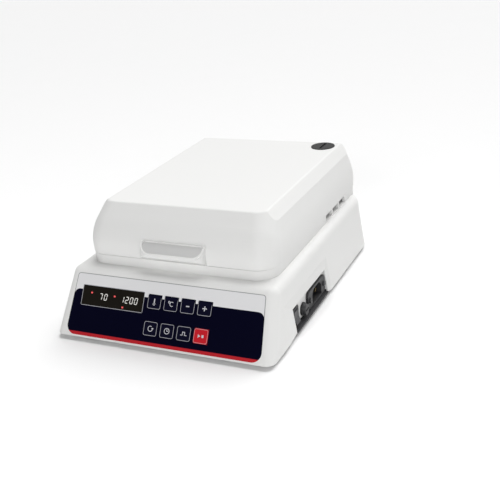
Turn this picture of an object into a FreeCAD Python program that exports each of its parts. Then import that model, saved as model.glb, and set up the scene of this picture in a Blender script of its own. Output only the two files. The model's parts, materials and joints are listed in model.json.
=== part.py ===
import FreeCAD, Part
import os
import re
import Sketcher

# Shaking dry block heater: a heated tube block on an orbital drive, under a hinged lid.
# Millimetres, +Z up. The origin is the middle of the footprint, on the table under the feet.
# X runs to the right seen from the control panel, and Y runs from the panel to the rear.

SIZES = {
    # base housing
    "base_width": 224.0,          # across the bottom edge
    "side_draft": 7.0,            # lean of the side walls, in degrees
    "base_depth": 289.0,
    "base_height": 55.0,          # from the bottom edge to the deck
    "foot_height": 4.0,           # clear height under the bottom edge
    "wall": 3.0,
    "front_corner": 9.0,
    "rear_corner": 30.0,
    "deck_round": 8.0,
    "panel_angle": 58.0,          # slope of the front, in degrees above the table
    "boss_radius": 5.0,
    "boss_inset_x": 16.0,         # screw bosses, in from the bottom edge
    "boss_inset_y": 46.5,
    # base plate and feet
    "plate_thickness": 2.0,
    "plate_clearance": 0.4,
    "foot_radius": 10.0,
    "foot_inset_x": 34.0,
    "foot_inset_y": 40.0,
    "foot_stem_radius": 3.0,
    "screw_radius": 1.6,
    "screw_head_radius": 3.2,
    "screw_head_height": 1.8,
    # collar under the lid
    "collar_width": 193.0,
    "collar_setback": 48.0,       # from the base's front edge
    "hinge_setback": 4.0,         # hinge line, in from the base's rear edge
    "collar_height": 9.0,
    "collar_wall": 3.0,
    "shelf_thickness": 2.0,
    "collar_front_corner": 20.0,
    "collar_rear_corner": 10.0,
    "vent_length": 17.6,
    "vent_height": 6.4,
    "vent_pitch": 20.6,
    "vent_drop": 0.1,             # below the middle of the collar
    "vent_setback": 87.7,         # middle of the first vent, from the hinge line
    # chamber
    "chamber_y": 20.0,            # middle of the chamber and of the drive
    "chamber_clearance": 6.0,     # round the orbiting platform
    "liner_wall": 1.2,
    "liner_flange": 4.0,
    # lid
    "lid_gap": 0.4,
    "lid_height": 45.6,
    "lid_wall": 3.0,
    "lid_seam_width": 194.0,
    "lid_belt_width": 195.4,
    "lid_top_width": 166.0,
    "lid_crease_width": 182.9,    # where the side faces end and the bands begin
    "lid_crease_height": 35.6,
    "lid_belt_height": 15.6,
    "lid_brow_height": 30.0,
    "lid_belt_setback": 0.6,
    "lid_brow_setback": 8.0,
    "lid_top_setback": 23.0,
    "lid_top_rear": 1.5,
    "lid_front_round": 36.0,
    "lid_side_round": 50.0,
    "lid_corner": 20.0,
    "lid_rear_corner": 9.0,
    "lid_top_round": 3.5,
    "grip_width": 66.0,
    "grip_reach": 9.0,
    "grip_height": 18.0,
    "grip_lip": 8.5,
    "grip_rim": 2.2,              # height of the grip's front edge
    "grip_dish": 1.0,             # depth of the finger dish
    "grip_dish_margin": 2.2,
    "grip_corner": 7.0,
    "tray_length": 168.0,         # inside of the lid's tray, along X
    "tray_front_setback": 22.5,   # from the collar's front
    "tray_rear_setback": 16.5,    # from the hinge line
    "tray_depth": 37.0,
    "tray_wall": 1.6,
    "tray_front_corner": 17.0,
    "tray_rear_corner": 8.0,
    "tray_rise": 0.9,            # tray flange above the lid edge
    "insulation_thickness": 5.0,
    "insulation_front_margin": 10.0,  # behind the tray's front
    "insulation_rear_margin": 20.0,   # before the tray's rear, clear of the plug
    "lid_boss_x": 60.0,
    "lid_boss_inset": 38.0,       # in from the tray's front and rear
    "lid_boss_radius": 4.0,
    "gasket_height": 1.0,
    "gasket_width": 4.0,
    # lid plug
    "plug_x": 68.0,
    "plug_setback": 18.0,         # from the hinge line
    "plug_radius": 12.5,
    "plug_stem_radius": 8.0,
    "plug_lug_radius": 9.5,
    "plug_rise": 0.6,
    "plug_seat": 1.6,
    "plug_slot_width": 2.4,
    "plug_slot_depth": 1.2,
    "running_gap": 0.05,          # radial play of turning fits
    # hinges
    "hinge_x": 62.0,
    "knuckle_radius": 4.0,
    "knuckle_length": 16.0,
    "side_knuckle_length": 8.0,
    "knuckle_gap": 0.4,
    "hinge_pin_radius": 2.0,
    # control panel
    "overlay_low_v": 1.8,          # lower edge, up the slope from the table edge
    "overlay_bottom_width": 201.4,
    "overlay_top_width": 193.8,
    "overlay_length": 58.4,
    "overlay_thickness": 1.2,
    "overlay_sink": 1.0,
    "overlay_bottom_corner": 9.0,
    "overlay_top_corner": 3.0,
    "display_x": -55.4,
    "display_v": 39.8,
    "display_length": 66.6,
    "display_breadth": 18.5,
    "display_flange": 1.5,
    "lens_thickness": 1.5,
    "display_depth": 6.5,
    "key_first_x": -10.4,
    "key_pitch": 17.1,
    "key_upper_v": 41.6,
    "key_lower_v": 17.3,
    "key_width": 14.0,
    "key_length": 13.0,
    "key_corner": 2.0,
    "key_gap": 0.3,
    "key_rise": 0.45,              # key face above the overlay
    "key_flange": 1.0,
    "key_flange_height": 0.8,
    "key_travel": 0.4,
    "key_stem_radius": 2.5,
    "tact_size": 6.0,
    "tact_height": 3.6,
    "tact_plunger_radius": 1.7,
    "board_length": 176.0,
    "board_low_v": 10.8,
    "board_high_v": 58.0,
    "board_thickness": 1.6,
    "board_screw_inset": 3.5,
    "board_screw_radius": 1.2,
    "board_screw_head_radius": 2.2,
    "board_boss_radius": 3.0,
    # side recess
    "recess_front_y": -83.5,
    "recess_rear_y": 1.0,
    "recess_height": 23.8,
    "recess_low_t": 2.6,          # foot of the backing, clear of the base plate
    "recess_depth": 6.6,
    "scoop_depth": 1.4,
    "scoop_front": 20.0,
    "scoop_rear": 6.0,
    "scoop_top": 12.0,
    "recess_margin": 2.0,
    "inlet_panel_thickness": 1.5,
    "rocker_y": -76.0,
    "rocker_t": 11.6,
    "rocker_frame_length": 15.0,
    "rocker_frame_height": 18.0,
    "rocker_frame_rise": 1.6,
    "rocker_body_length": 12.8,
    "rocker_body_height": 16.4,
    "rocker_body_depth": 15.0,
    "rocker_skin": 1.2,
    "rocker_gap": 0.3,
    "rocker_tilt": 9.0,
    "rocker_half": 6.2,
    "rocker_rise": 2.4,
    "rocker_pivot_radius": 1.2,
    "rocker_pivot_depth": 1.0,    # pivot behind the panel face
    "fuse_y": -55.5,
    "fuse_t": 9.6,
    "fuse_flange_radius": 6.4,
    "fuse_flange_height": 1.8,
    "fuse_body_radius": 5.4,
    "fuse_body_length": 26.0,
    "fuse_bore_radius": 4.2,
    "fuse_cap_radius": 5.6,
    "fuse_cap_height": 3.0,
    "fuse_cap_taper": 0.6,
    "fuse_slot_length": 8.0,
    "fuse_slot_width": 1.4,
    "fuse_slot_depth": 1.2,
    "fuse_sleeve_length": 8.0,
    "fuse_link_radius": 2.6,
    "fuse_link_length": 20.0,
    "inlet_y": -23.0,
    "inlet_t": 11.6,
    "inlet_flange_length": 46.0,
    "inlet_flange_height": 18.0,
    "inlet_flange_thickness": 2.6,
    "inlet_body_length": 28.0,
    "inlet_body_height": 16.6,
    "inlet_body_depth": 20.0,
    "inlet_socket_length": 24.4,
    "inlet_socket_height": 14.0,
    "inlet_socket_depth": 17.0,
    "inlet_screw_pitch": 37.0,
    "inlet_screw_radius": 1.5,
    "inlet_screw_head_radius": 2.6,
    "pin_length": 13.0,
    "pin_width": 4.0,
    "pin_thickness": 2.0,
    "pin_pitch": 7.0,
    "pin_offset": 4.0,
    # power supply
    "power_board_length": 130.0,
    "power_board_breadth": 34.0,
    "power_board_setback": 32.5,  # its middle, from the base's rear edge
    "standoff_height": 6.0,
    "standoff_radius": 3.0,
    "transformer_length": 40.0,
    "transformer_breadth": 28.0,
    "transformer_height": 26.0,
    "capacitor_radius": 8.0,
    "capacitor_height": 24.0,
    # orbital drive
    "drive_plate_z": 34.0,
    "drive_plate_thickness": 4.0,
    "drive_plate_length": 164.0,
    "drive_plate_breadth": 118.0,
    "post_radius": 5.0,
    "post_inset": 8.0,
    "motor_radius": 28.0,
    "motor_height": 22.0,
    "motor_boss_radius": 12.0,
    "shaft_radius": 5.0,
    "orbit_radius": 1.5,
    "journal_radius": 6.0,
    "counterweight_radius": 22.0,
    "counterweight_thickness": 4.0,
    "counterweight_gap": 2.5,     # above the drive plate
    "platform_gap": 4.0,          # above the counterweight
    "platform_length": 140.0,
    "platform_breadth": 100.0,
    "platform_thickness": 6.0,
    "idler_x": 54.0,
    "idler_radius": 4.0,
    "idler_flange_radius": 8.0,
    "idler_flange_height": 4.0,
    # heated block
    "heater_thickness": 4.0,
    "heater_margin": 2.0,         # heater plate beyond the block, all round
    "block_length": 126.0,
    "block_breadth": 86.0,
    "block_height": 35.0,
    "block_corner": 4.0,
    "well_radius": 5.6,
    "well_depth": 29.0,
    "well_pitch": 20.0,
    "block_screw_radius": 2.5,
    "block_screw_head_radius": 4.5,
    "block_screw_head_height": 5.0,
    "block_screw_sink": 6.0,
    "block_screw_x": 40.0,
    "sensor_radius": 2.0,
    "sensor_length": 24.0,
}

DERIVED = {
    "deck_z": "foot_height + base_height",
    "deck_width": "base_width - 2 * base_height * tan(side_draft)",
    "boss_front_y": "boss_inset_y - base_depth / 2",
    "boss_rear_y": "base_depth / 2 - boss_inset_y",
    "seam_z": "deck_z + collar_height",
    "draft": "atan((base_width - deck_width) / 2 / base_height)",
    "front_y": "-base_depth / 2",
    "rear_y": "base_depth / 2",
    "collar_front_y": "front_y + collar_setback",
    "hinge_y": "rear_y - hinge_setback",
    "hinge_z": "seam_z + lid_gap / 2",
    "vent_first_y": "hinge_y - vent_setback",
    "plug_y": "hinge_y - plug_setback",
    "tray_front_y": "collar_front_y + tray_front_setback",
    "tray_rear_y": "hinge_y - tray_rear_setback",
    "insulation_front_y": "tray_front_y + insulation_front_margin",
    "insulation_rear_y": "tray_rear_y - insulation_rear_margin",
    "lid_boss_front_y": "tray_front_y + lid_boss_inset",
    "lid_boss_rear_y": "tray_rear_y - lid_boss_inset",
    "power_board_y": "rear_y - power_board_setback",
    "chamber_length": "platform_length + 2 * chamber_clearance",
    "chamber_breadth": "platform_breadth + 2 * chamber_clearance",
    "lid_z": "seam_z + lid_gap",
    "lid_top_z": "lid_z + lid_height",
    "plate_top_z": "foot_height + plate_thickness",
    "drive_top_z": "drive_plate_z + drive_plate_thickness",
    "weight_z": "drive_top_z + counterweight_gap",
    "platform_z": "weight_z + counterweight_thickness + platform_gap",
    "heater_z": "platform_z + platform_thickness",
    "block_z": "heater_z + heater_thickness",
    "block_top_z": "block_z + block_height",
    "motor_z": "drive_plate_z - motor_height",
    "liner_floor_z": "drive_top_z",
    "tray_top_z": "lid_z + tray_depth",
    "board_n": "-(overlay_sink + lens_thickness + display_depth)",
    "panel_m": "-recess_depth",
}

doc = FreeCAD.newDocument("dry_block_heater")
dims = doc.addObject("Spreadsheet::Sheet", "dims")
derived = doc.addObject("Spreadsheet::Sheet", "derived")


def linked(text, home=None):
    """Write the sheets' names in a size with the sheet that each one belongs to."""
    def link(match):
        word = match.group(0)
        if word in SIZES:
            return "dims." + word
        if word in DERIVED:
            return word if home is derived else "derived." + word
        return word
    return re.sub(r"[a-z_]+[a-z0-9_]*", link, text)


for row, (alias, value) in enumerate(SIZES.items(), start=1):
    dims.set(f"A{row}", alias)
    dims.set(f"B{row}", str(value))
    dims.setAlias(f"B{row}", alias)
doc.recompute()
for row, (alias, text) in enumerate(DERIVED.items(), start=1):
    derived.set(f"B{row}", "=" + linked(text, derived))
    derived.setAlias(f"B{row}", alias)
doc.recompute()


def measure(text):
    """Work out a size written with the sheets' names."""
    derived.set("D1", "=" + linked(text, derived))
    derived.recompute()
    value = derived.get("D1")
    return float(getattr(value, "Value", value))


def bind(item, path, text):
    """Tie one property of an object to the sheets."""
    item.setExpression(path, linked(text))


def place(item, x="0", y="0", z="0"):
    """Tie an object's place to the sheets."""
    bind(item, "Placement.Base.x", x)
    bind(item, "Placement.Base.y", y)
    bind(item, "Placement.Base.z", z)
    return item


def box(name, low, high):
    """A block from its low corner to its high corner, each written as three sizes."""
    item = doc.addObject("Part::Box", name)
    for path, a, b in zip(("Length", "Width", "Height"), low, high):
        bind(item, path, f"({b}) - ({a})")
    return place(item, *low)


TURNS = {
    "z": FreeCAD.Rotation(),
    "y": FreeCAD.Rotation(FreeCAD.Vector(1, 0, 0), -90),
    "x": FreeCAD.Rotation(FreeCAD.Vector(0, 1, 0), 90),
}


def cylinder(name, radius, length, at, axis="z"):
    """A round bar that starts at a point and runs along an axis."""
    item = doc.addObject("Part::Cylinder", name)
    bind(item, "Radius", radius)
    bind(item, "Height", length)
    item.Placement.Rotation = TURNS[axis]
    return place(item, *at)


def cone(name, low_radius, high_radius, length, at):
    """A round taper that stands on a point."""
    item = doc.addObject("Part::Cone", name)
    bind(item, "Radius1", low_radius)
    bind(item, "Radius2", high_radius)
    bind(item, "Height", length)
    return place(item, *at)


def fuse(name, items):
    """One solid out of several that overlap."""
    item = doc.addObject("Part::MultiFuse", name)
    item.Shapes = items
    item.Refine = True
    return item


def group(name, items):
    """Separate solids that share one node."""
    item = doc.addObject("Part::Compound", name)
    item.Links = items
    return item


def cut(name, base, tools):
    """A solid less one or more others."""
    item = doc.addObject("Part::Cut", name)
    item.Base = base
    item.Tool = tools[0] if len(tools) == 1 else group(name + "_tools", tools)
    return item


def common(name, items):
    """What several solids share."""
    made = doc.addObject("Part::MultiCommon", name)
    made.Shapes = items
    return made


def plane_of(body, role):
    """One of a body's own origin planes."""
    return next(feature for feature in body.Origin.OriginFeatures if feature.Role == role)


def new_body(name):
    return doc.addObject("PartDesign::Body", name)


def new_sketch(body, name, role="XY_Plane", offset="0"):
    """A sketch on an origin plane, moved along the plane's normal."""
    sketch = body.newObject("Sketcher::SketchObject", name)
    sketch.AttachmentSupport = [(plane_of(body, role), "")]
    sketch.MapMode = "FlatFace"
    bind(sketch, "AttachmentOffset.Base.z", offset)
    return sketch


def tie_point(sketch, geometry, end, x, y):
    """Hold one end of a line at a place given by the sheets."""
    for kind, text in (("DistanceX", x), ("DistanceY", y)):
        index = sketch.addConstraint(Sketcher.Constraint(kind, -1, 1, geometry, end, measure(text)))
        bind(sketch, f"Constraints[{index}]", text)


def polygon(sketch, corners):
    """A closed outline of straight lines, each corner held by the sheets."""
    points = [FreeCAD.Vector(measure(x), measure(y), 0) for x, y in corners]
    count = len(points)
    lines = [sketch.addGeometry(Part.LineSegment(points[i], points[(i + 1) % count])) for i in range(count)]
    for i, line in enumerate(lines):
        sketch.addConstraint(Sketcher.Constraint("Coincident", line, 2, lines[(i + 1) % count], 1))
        tie_point(sketch, line, 1, *corners[i])


def rounded_rectangle(sketch, half_width, low_y, high_y, low_corner, high_corner):
    """A rectangle centred on X, with one radius on its low corners and one on its high corners."""
    w, y0, y1 = measure(half_width), measure(low_y), measure(high_y)
    a, b = measure(low_corner), measure(high_corner)
    spot = FreeCAD.Vector
    up = spot(0, 0, 1)
    quarter = 1.5707963267948966

    def line(p, q):
        return sketch.addGeometry(Part.LineSegment(spot(*p, 0), spot(*q, 0)))

    def arc(x, y, radius, turn):
        circle = Part.Circle(spot(x, y, 0), up, radius)
        return sketch.addGeometry(Part.ArcOfCircle(circle, turn * quarter, (turn + 1) * quarter))

    chain = [
        line((-w + a, y0), (w - a, y0)),
        arc(w - a, y0 + a, a, -1),
        line((w, y0 + a), (w, y1 - b)),
        arc(w - b, y1 - b, b, 0),
        line((w - b, y1), (-w + b, y1)),
        arc(-w + b, y1 - b, b, 1),
        line((-w, y1 - b), (-w, y0 + a)),
        arc(-w + a, y0 + a, a, 2),
    ]
    for i, item in enumerate(chain):
        sketch.addConstraint(Sketcher.Constraint("Tangent", item, 2, chain[(i + 1) % 8], 1))
    sketch.addConstraint(Sketcher.Constraint("Horizontal", chain[0]))
    sketch.addConstraint(Sketcher.Constraint("Vertical", chain[2]))
    sketch.addConstraint(Sketcher.Constraint("Equal", chain[1], chain[7]))
    sketch.addConstraint(Sketcher.Constraint("Equal", chain[3], chain[5]))
    sizes = [
        (("Radius", chain[1]), low_corner),
        (("Radius", chain[3]), high_corner),
        (("DistanceX", -1, 1, chain[2], 1), half_width),
        (("DistanceX", chain[6], 1, -1, 1), half_width),
        (("DistanceY", -1, 1, chain[0], 1), low_y),
        (("DistanceY", -1, 1, chain[4], 1), high_y),
    ]
    for terms, text in sizes:
        index = sketch.addConstraint(Sketcher.Constraint(*terms, measure(text)))
        bind(sketch, f"Constraints[{index}]", text)


def pad(body, name, sketch, length, both_ways=False, down=False):
    """Thicken a sketch, up or down from its plane or to both sides of it."""
    feature = body.newObject("PartDesign::Pad", name)
    feature.Profile = sketch
    bind(feature, "Length", length)
    if both_ways:
        feature.SideType = "Symmetric"
    feature.Reversed = down
    return feature


def pocket(body, name, sketch, depth, both_ways=False, up=False):
    """Cut a sketch into the body, down from its plane, up from it or to both sides of it."""
    feature = body.newObject("PartDesign::Pocket", name)
    feature.Profile = sketch
    bind(feature, "Length", depth)
    if both_ways:
        feature.SideType = "Symmetric"
    feature.Reversed = up
    return feature


def round_edges(body, name, chosen, radius):
    """Round the edges of a body that a test of their middle point picks."""
    base = body.Tip
    base.recompute(True)
    names = []
    for i, edge in enumerate(base.Shape.Edges, start=1):
        middle = edge.valueAt((edge.FirstParameter + edge.LastParameter) / 2)
        if chosen(middle, edge):
            names.append(f"Edge{i}")
    if not names:
        raise RuntimeError(f"{name}: no edge to round")
    feature = body.newObject("PartDesign::Fillet", name)
    feature.Base = (base, names)
    bind(feature, "Radius", radius)
    return feature


def upright(edge):
    """An edge that climbs more than it runs."""
    start, end = edge.Vertexes[0].Point, edge.Vertexes[-1].Point
    rise = end - start
    return abs(rise.z) > 0.6 * rise.Length > 0


def plate(name, half_width, low_y, high_y, low_corner, high_corner, low_z, thickness):
    """A flat body with rounded corners."""
    body = new_body(name)
    sketch = new_sketch(body, name + "_outline", offset=low_z)
    rounded_rectangle(sketch, half_width, low_y, high_y, low_corner, high_corner)
    pad(body, name + "_pad", sketch, thickness)
    return body


def panel_placement():
    """Frame of the sloped front: X along it, Y up it, Z out of it, from its lower edge."""
    turn = FreeCAD.Rotation(FreeCAD.Vector(1, 0, 0), measure("panel_angle"))
    return FreeCAD.Placement(FreeCAD.Vector(0, measure("front_y"), measure("foot_height")), turn)


def side_placement(lean):
    """Frame at the right wall's lower edge: X to the rear, Y up and Z out, leaned in by an angle."""
    tilt = FreeCAD.Rotation(FreeCAD.Vector(0, 1, 0), -measure(lean))
    turn = tilt.multiply(FreeCAD.Rotation(FreeCAD.Vector(1, 1, 1), 120))
    return FreeCAD.Placement(FreeCAD.Vector(measure("base_width / 2"), 0, measure("foot_height")), turn)


PANEL = panel_placement()
SIDE = side_placement("0")
WALL = side_placement("draft")


def framed(item, frame):
    """Set a finished piece into the frame that its sizes were written in."""
    item.Placement = frame
    return item


nodes = {}


def keep(name, item):
    """Take an object as a finished piece."""
    item.Label = name
    nodes[name] = item
    return item


# Base housing: a drafted shell with a sloped front

def hull(name, inset, low_z):
    """The housing's outer form, or the same form drawn in by a wall."""
    body = new_body(name)
    section = new_sketch(body, name + "_section", "XZ_Plane")
    low_half = f"base_width / 2 - {inset} / cos(draft) + (foot_height - ({low_z})) * tan(draft)"
    high_half = f"deck_width / 2 + {inset} * tan(draft) - {inset} / cos(draft)"
    high_z = f"deck_z - {inset}"
    polygon(section, [
        (f"-({low_half})", low_z),
        (low_half, low_z),
        (high_half, high_z),
        (f"-({high_half})", high_z),
    ])
    pad(body, name + "_block", section, f"base_depth - 2 * {inset}", both_ways=True)
    front = new_sketch(body, name + "_front", "YZ_Plane")
    foot = "foot_height - 2 * wall"
    top = "deck_z + wall"
    face = f"front_y + {inset} / sin(panel_angle)"
    polygon(front, [
        (f"{face} + ({foot} - foot_height) / tan(panel_angle)", foot),
        (f"{face} + ({top} - foot_height) / tan(panel_angle)", top),
        ("front_y - base_height", top),
        ("front_y - base_height", foot),
    ])
    pocket(body, name + "_slope", front, "2 * base_width", both_ways=True)
    reach = measure("rear_y") - measure(inset)
    deck_z = measure("deck_z") - measure(inset)
    round_edges(body, name + "_rear_corners",
                lambda p, e: upright(e) and abs(p.y - reach) < 1, f"rear_corner - {inset}")
    round_edges(body, name + "_front_corners",
                lambda p, e: upright(e) and p.y < 0, f"front_corner - {inset}")
    round_edges(body, name + "_deck_edges",
                lambda p, e: abs(p.z - deck_z) < 0.01, f"deck_round - {inset}")
    return body


outer_form = hull("outer_form", "0", "foot_height")
inner_form = hull("inner_form", "wall", "foot_height - wall")
shell = cut("housing_shell", outer_form, [inner_form])

boss_spots = [
    (f"{side}(base_width / 2 - boss_inset_x)", y)
    for side in ("-", "")
    for y in ("boss_front_y", "boss_rear_y")
]
bosses = [
    cylinder(f"boss_{i}", "boss_radius", "base_height - plate_thickness - wall / 2", (x, y, "plate_top_z"))
    for i, (x, y) in enumerate(boss_spots, start=1)
]
boss_holes = [
    cylinder(f"boss_hole_{i}", "screw_radius", "6 * screw_radius", (x, y, "plate_top_z"))
    for i, (x, y) in enumerate(boss_spots, start=1)
]

board_spots = [
    (f"{side}(board_length / 2 - board_screw_inset)", v)
    for side in ("-", "")
    for v in ("board_low_v + board_screw_inset", "board_high_v - board_screw_inset")
]
board_bosses = framed(fuse("board_bosses", [
    cylinder(f"board_boss_{i}", "board_boss_radius", "-board_n - wall / 2", (x, v, "board_n"))
    for i, (x, v) in enumerate(board_spots, start=1)
]), PANEL)
board_boss_holes = framed(group("board_boss_holes", [
    cylinder(f"board_boss_hole_{i}", "board_screw_radius", "4 * board_screw_radius", (x, v, "board_n"))
    for i, (x, v) in enumerate(board_spots, start=1)
]), PANEL)

recess_block = framed(group("recess_block", [box(
    "recess_blank",
    ("recess_front_y - scoop_front", "recess_low_t", "-recess_depth"),
    ("recess_rear_y + scoop_rear", "recess_height + scoop_top", "recess_depth"))]), SIDE)
recess_backing = common("recess_backing", [recess_block, outer_form])

scoop = doc.addObject("Part::Wedge", "scoop")
scoop_sizes = {
    "Xmin": "recess_front_y - scoop_front",
    "Xmax": "recess_rear_y + scoop_rear",
    "X2min": "recess_front_y - recess_margin",
    "X2max": "recess_rear_y + recess_margin",
    "Ymin": "0",
    "Ymax": "scoop_depth",
    "Zmin": "-wall",
    "Zmax": "recess_height + scoop_top",
    "Z2min": "-wall",
    "Z2max": "recess_height + recess_margin",
}
for path, text in scoop_sizes.items():
    bind(scoop, path, text)
scoop.Placement.Rotation = FreeCAD.Rotation(FreeCAD.Vector(1, 0, 0), -90)
recess_window = box(
    "recess_window",
    ("recess_front_y", "-wall", "-2 * recess_depth"),
    ("recess_rear_y", "recess_height", "recess_depth"))
scoop_cut = framed(group("scoop_cut", [scoop]), WALL)
window_cut = framed(group("window_cut", [recess_window]), SIDE)


def overlay_body(name, low_n, thickness):
    """The panel overlay's outline, wider at its lower edge, thickened from a level."""
    body = new_body(name)
    sketch = new_sketch(body, name + "_outline", offset=low_n)
    top = "overlay_low_v + overlay_length"
    polygon(sketch, [
        ("-overlay_bottom_width / 2", "overlay_low_v"),
        ("overlay_bottom_width / 2", "overlay_low_v"),
        ("overlay_top_width / 2", top),
        ("-overlay_top_width / 2", top),
    ])
    pad(body, name + "_pad", sketch, thickness)
    middle = measure("overlay_low_v + overlay_length / 2")
    round_edges(body, name + "_low_corners", lambda p, e: upright(e) and p.y < middle,
                "overlay_bottom_corner")
    round_edges(body, name + "_high_corners", lambda p, e: upright(e) and p.y > middle, "overlay_top_corner")
    return body


def panel_block(name, x, v, length, breadth, low_n, high_n):
    """A block in the panel's frame, given by its middle and its two lengths."""
    return box(
        name,
        (f"{x} - ({length}) / 2", f"{v} - ({breadth}) / 2", low_n),
        (f"{x} + ({length}) / 2", f"{v} + ({breadth}) / 2", high_n))


overlay_pocket = overlay_body("overlay_pocket", "-overlay_sink", "overlay_sink + wall")
overlay_pocket.Placement = PANEL
row_middle = "(key_first_x + 1.5 * key_pitch)"
row_length = "3 * key_pitch + key_width + 2 * key_flange + 2 * key_gap"
row_breadth = "key_length + 2 * key_flange + 2 * key_gap"
lens_length = "display_length + 2 * display_flange"
lens_breadth = "display_breadth + 2 * display_flange"
panel_windows = framed(group("panel_windows", [
    panel_block("upper_row_window", row_middle, "key_upper_v", row_length, row_breadth, "-2 * wall", "wall"),
    panel_block("lower_row_window", row_middle, "key_lower_v", row_length, row_breadth, "-2 * wall", "wall"),
    panel_block("display_opening", "display_x", "display_v",
                f"{lens_length} + 2 * key_gap", f"{lens_breadth} + 2 * key_gap", "-2 * wall", "wall"),
]), PANEL)

deck_opening = box(
    "deck_opening",
    ("-chamber_length / 2 - liner_flange", "chamber_y - chamber_breadth / 2 - liner_flange",
     "deck_z - 2 * wall"),
    ("chamber_length / 2 + liner_flange", "chamber_y + chamber_breadth / 2 + liner_flange", "deck_z + wall"))

housing_solid = fuse("housing_solid", [shell] + bosses + [board_bosses, recess_backing])
keep("base_housing", cut("base_housing", housing_solid, [
    scoop_cut, window_cut, overlay_pocket, panel_windows, deck_opening, board_boss_holes] + boss_holes))


# Base plate, feet and housing screws

base_blank = plate(
    "base_blank", "base_width / 2 - wall - 2 * plate_clearance",
    "front_y + wall / sin(panel_angle) + 3 * plate_clearance", "rear_y - wall - plate_clearance",
    "front_corner - wall", "rear_corner - wall", "foot_height", "plate_thickness")
recess_tab = box(
    "recess_tab",
    ("base_width / 2 - 3 * wall", "recess_front_y + plate_clearance", "foot_height"),
    ("base_width / 2 - 2 * plate_clearance", "recess_rear_y - plate_clearance",
     "foot_height + plate_thickness / 2"))
foot_spots = [
    (f"{side}(base_width / 2 - foot_inset_x)", f"{end}(base_depth / 2 - foot_inset_y)")
    for side in ("-", "")
    for end in ("-", "")
]
plate_holes = [
    cylinder(f"plate_screw_hole_{i}", "screw_radius", "plate_thickness", (x, y, "foot_height"))
    for i, (x, y) in enumerate(boss_spots, start=1)
] + [
    cylinder(f"foot_hole_{i}", "foot_stem_radius", "plate_thickness", (x, y, "foot_height"))
    for i, (x, y) in enumerate(foot_spots, start=1)
]
keep("base_plate", cut("base_plate", fuse("base_plate_blank", [base_blank, recess_tab]), plate_holes))

feet = []
for i, (x, y) in enumerate(foot_spots, start=1):
    pad_part = cone(f"foot_pad_{i}", "foot_radius - 1", "foot_radius", "foot_height", (x, y, "0"))
    stem = cylinder(f"foot_stem_{i}", "foot_stem_radius", "plate_thickness + 2", (x, y, "foot_height - 1"))
    feet.append(fuse(f"foot_{i}", [pad_part, stem]))
keep("rubber_feet", group("rubber_feet", feet))


def screw(name, radius, head_radius, head_height, length, at):
    """A pan-head screw with its head below the given point and its shank above it."""
    x, y, z = at
    head = cylinder(name + "_head", head_radius, head_height, (x, y, f"{z} - ({head_height})"))
    shank = cylinder(name + "_shank", radius, f"({length}) + ({head_height}) / 2",
                     (x, y, f"{z} - ({head_height}) / 2"))
    slot = box(
        name + "_slot",
        (f"{x} - ({head_radius})", f"{y} - ({radius}) / 4", f"{z} - ({head_height})"),
        (f"{x} + ({head_radius})", f"{y} + ({radius}) / 4", f"{z} - 0.6 * ({head_height})"))
    return cut(name, fuse(name + "_blank", [head, shank]), [slot])


keep("housing_screws", group("housing_screws", [
    screw(f"housing_screw_{i}", "screw_radius", "screw_head_radius", "screw_head_height",
          "plate_thickness + 6 * screw_radius", (x, y, "foot_height"))
    for i, (x, y) in enumerate(boss_spots, start=1)
]))


# Control panel

key_names = ["temperature", "unit", "minus", "plus", "speed", "time", "pulse", "start_stop"]
key_spots = [
    (f"(key_first_x + {column} * key_pitch)", row)
    for row in ("key_upper_v", "key_lower_v")
    for column in range(4)
]
overlay_sheet = overlay_body("overlay_sheet", "-overlay_sink", "overlay_thickness")
overlay_holes = [
    panel_block(f"key_hole_{name}", x, v, "key_width + 2 * key_gap", "key_length + 2 * key_gap",
                "-wall", "wall")
    for name, (x, v) in zip(key_names, key_spots)
] + [panel_block("display_hole", "display_x", "display_v", "display_length", "display_breadth", "-wall",
                 "wall")]
keep("panel_overlay", framed(cut("panel_overlay", overlay_sheet, overlay_holes), PANEL))

lens_low = "-(overlay_sink + lens_thickness)"
keep("display_window", framed(fuse("display_window", [
    panel_block("lens_flange", "display_x", "display_v", lens_length, lens_breadth, lens_low,
                "-overlay_sink"),
    panel_block("lens_face", "display_x", "display_v", "display_length", "display_breadth", lens_low,
                "overlay_thickness - overlay_sink - 0.1"),
]), PANEL))
keep("display_module", framed(group("display_module", [
    panel_block("display_module_block", "display_x", "display_v", lens_length, lens_breadth, "board_n",
                lens_low),
]), PANEL))

flange_high = "-(overlay_sink + key_gap / 2)"
flange_low = f"({flange_high} - key_flange_height)"
stem_low = f"({flange_low} - key_flange_height)"
for name, (x, v) in zip(key_names, key_spots):
    cap = new_body(f"key_cap_{name}")
    outline = new_sketch(cap, f"key_outline_{name}", offset=flange_low)
    polygon(outline, [
        ("-key_width / 2", "-key_length / 2"),
        ("key_width / 2", "-key_length / 2"),
        ("key_width / 2", "key_length / 2"),
        ("-key_width / 2", "key_length / 2"),
    ])
    pad(cap, f"key_pad_{name}", outline, f"overlay_thickness - overlay_sink + key_rise - {flange_low}")
    round_edges(cap, f"key_corners_{name}", lambda p, e: upright(e), "key_corner")
    key_top = measure("overlay_thickness - overlay_sink + key_rise")
    round_edges(cap, f"key_rim_{name}", lambda p, e, top=key_top: abs(p.z - top) < 0.01, "0.5 * key_rise")
    place(cap, x, v, "0")
    flange = panel_block(f"key_flange_{name}", x, v, "key_width + 2 * key_flange",
                         "key_length + 2 * key_flange",
                         flange_low, flange_high)
    stem = cylinder(f"key_stem_{name}", "key_stem_radius", "1.5 * key_flange_height", (x, v, stem_low))
    keep(f"key_{name}", framed(fuse(f"key_{name}", [cap, flange, stem]), PANEL))

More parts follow.
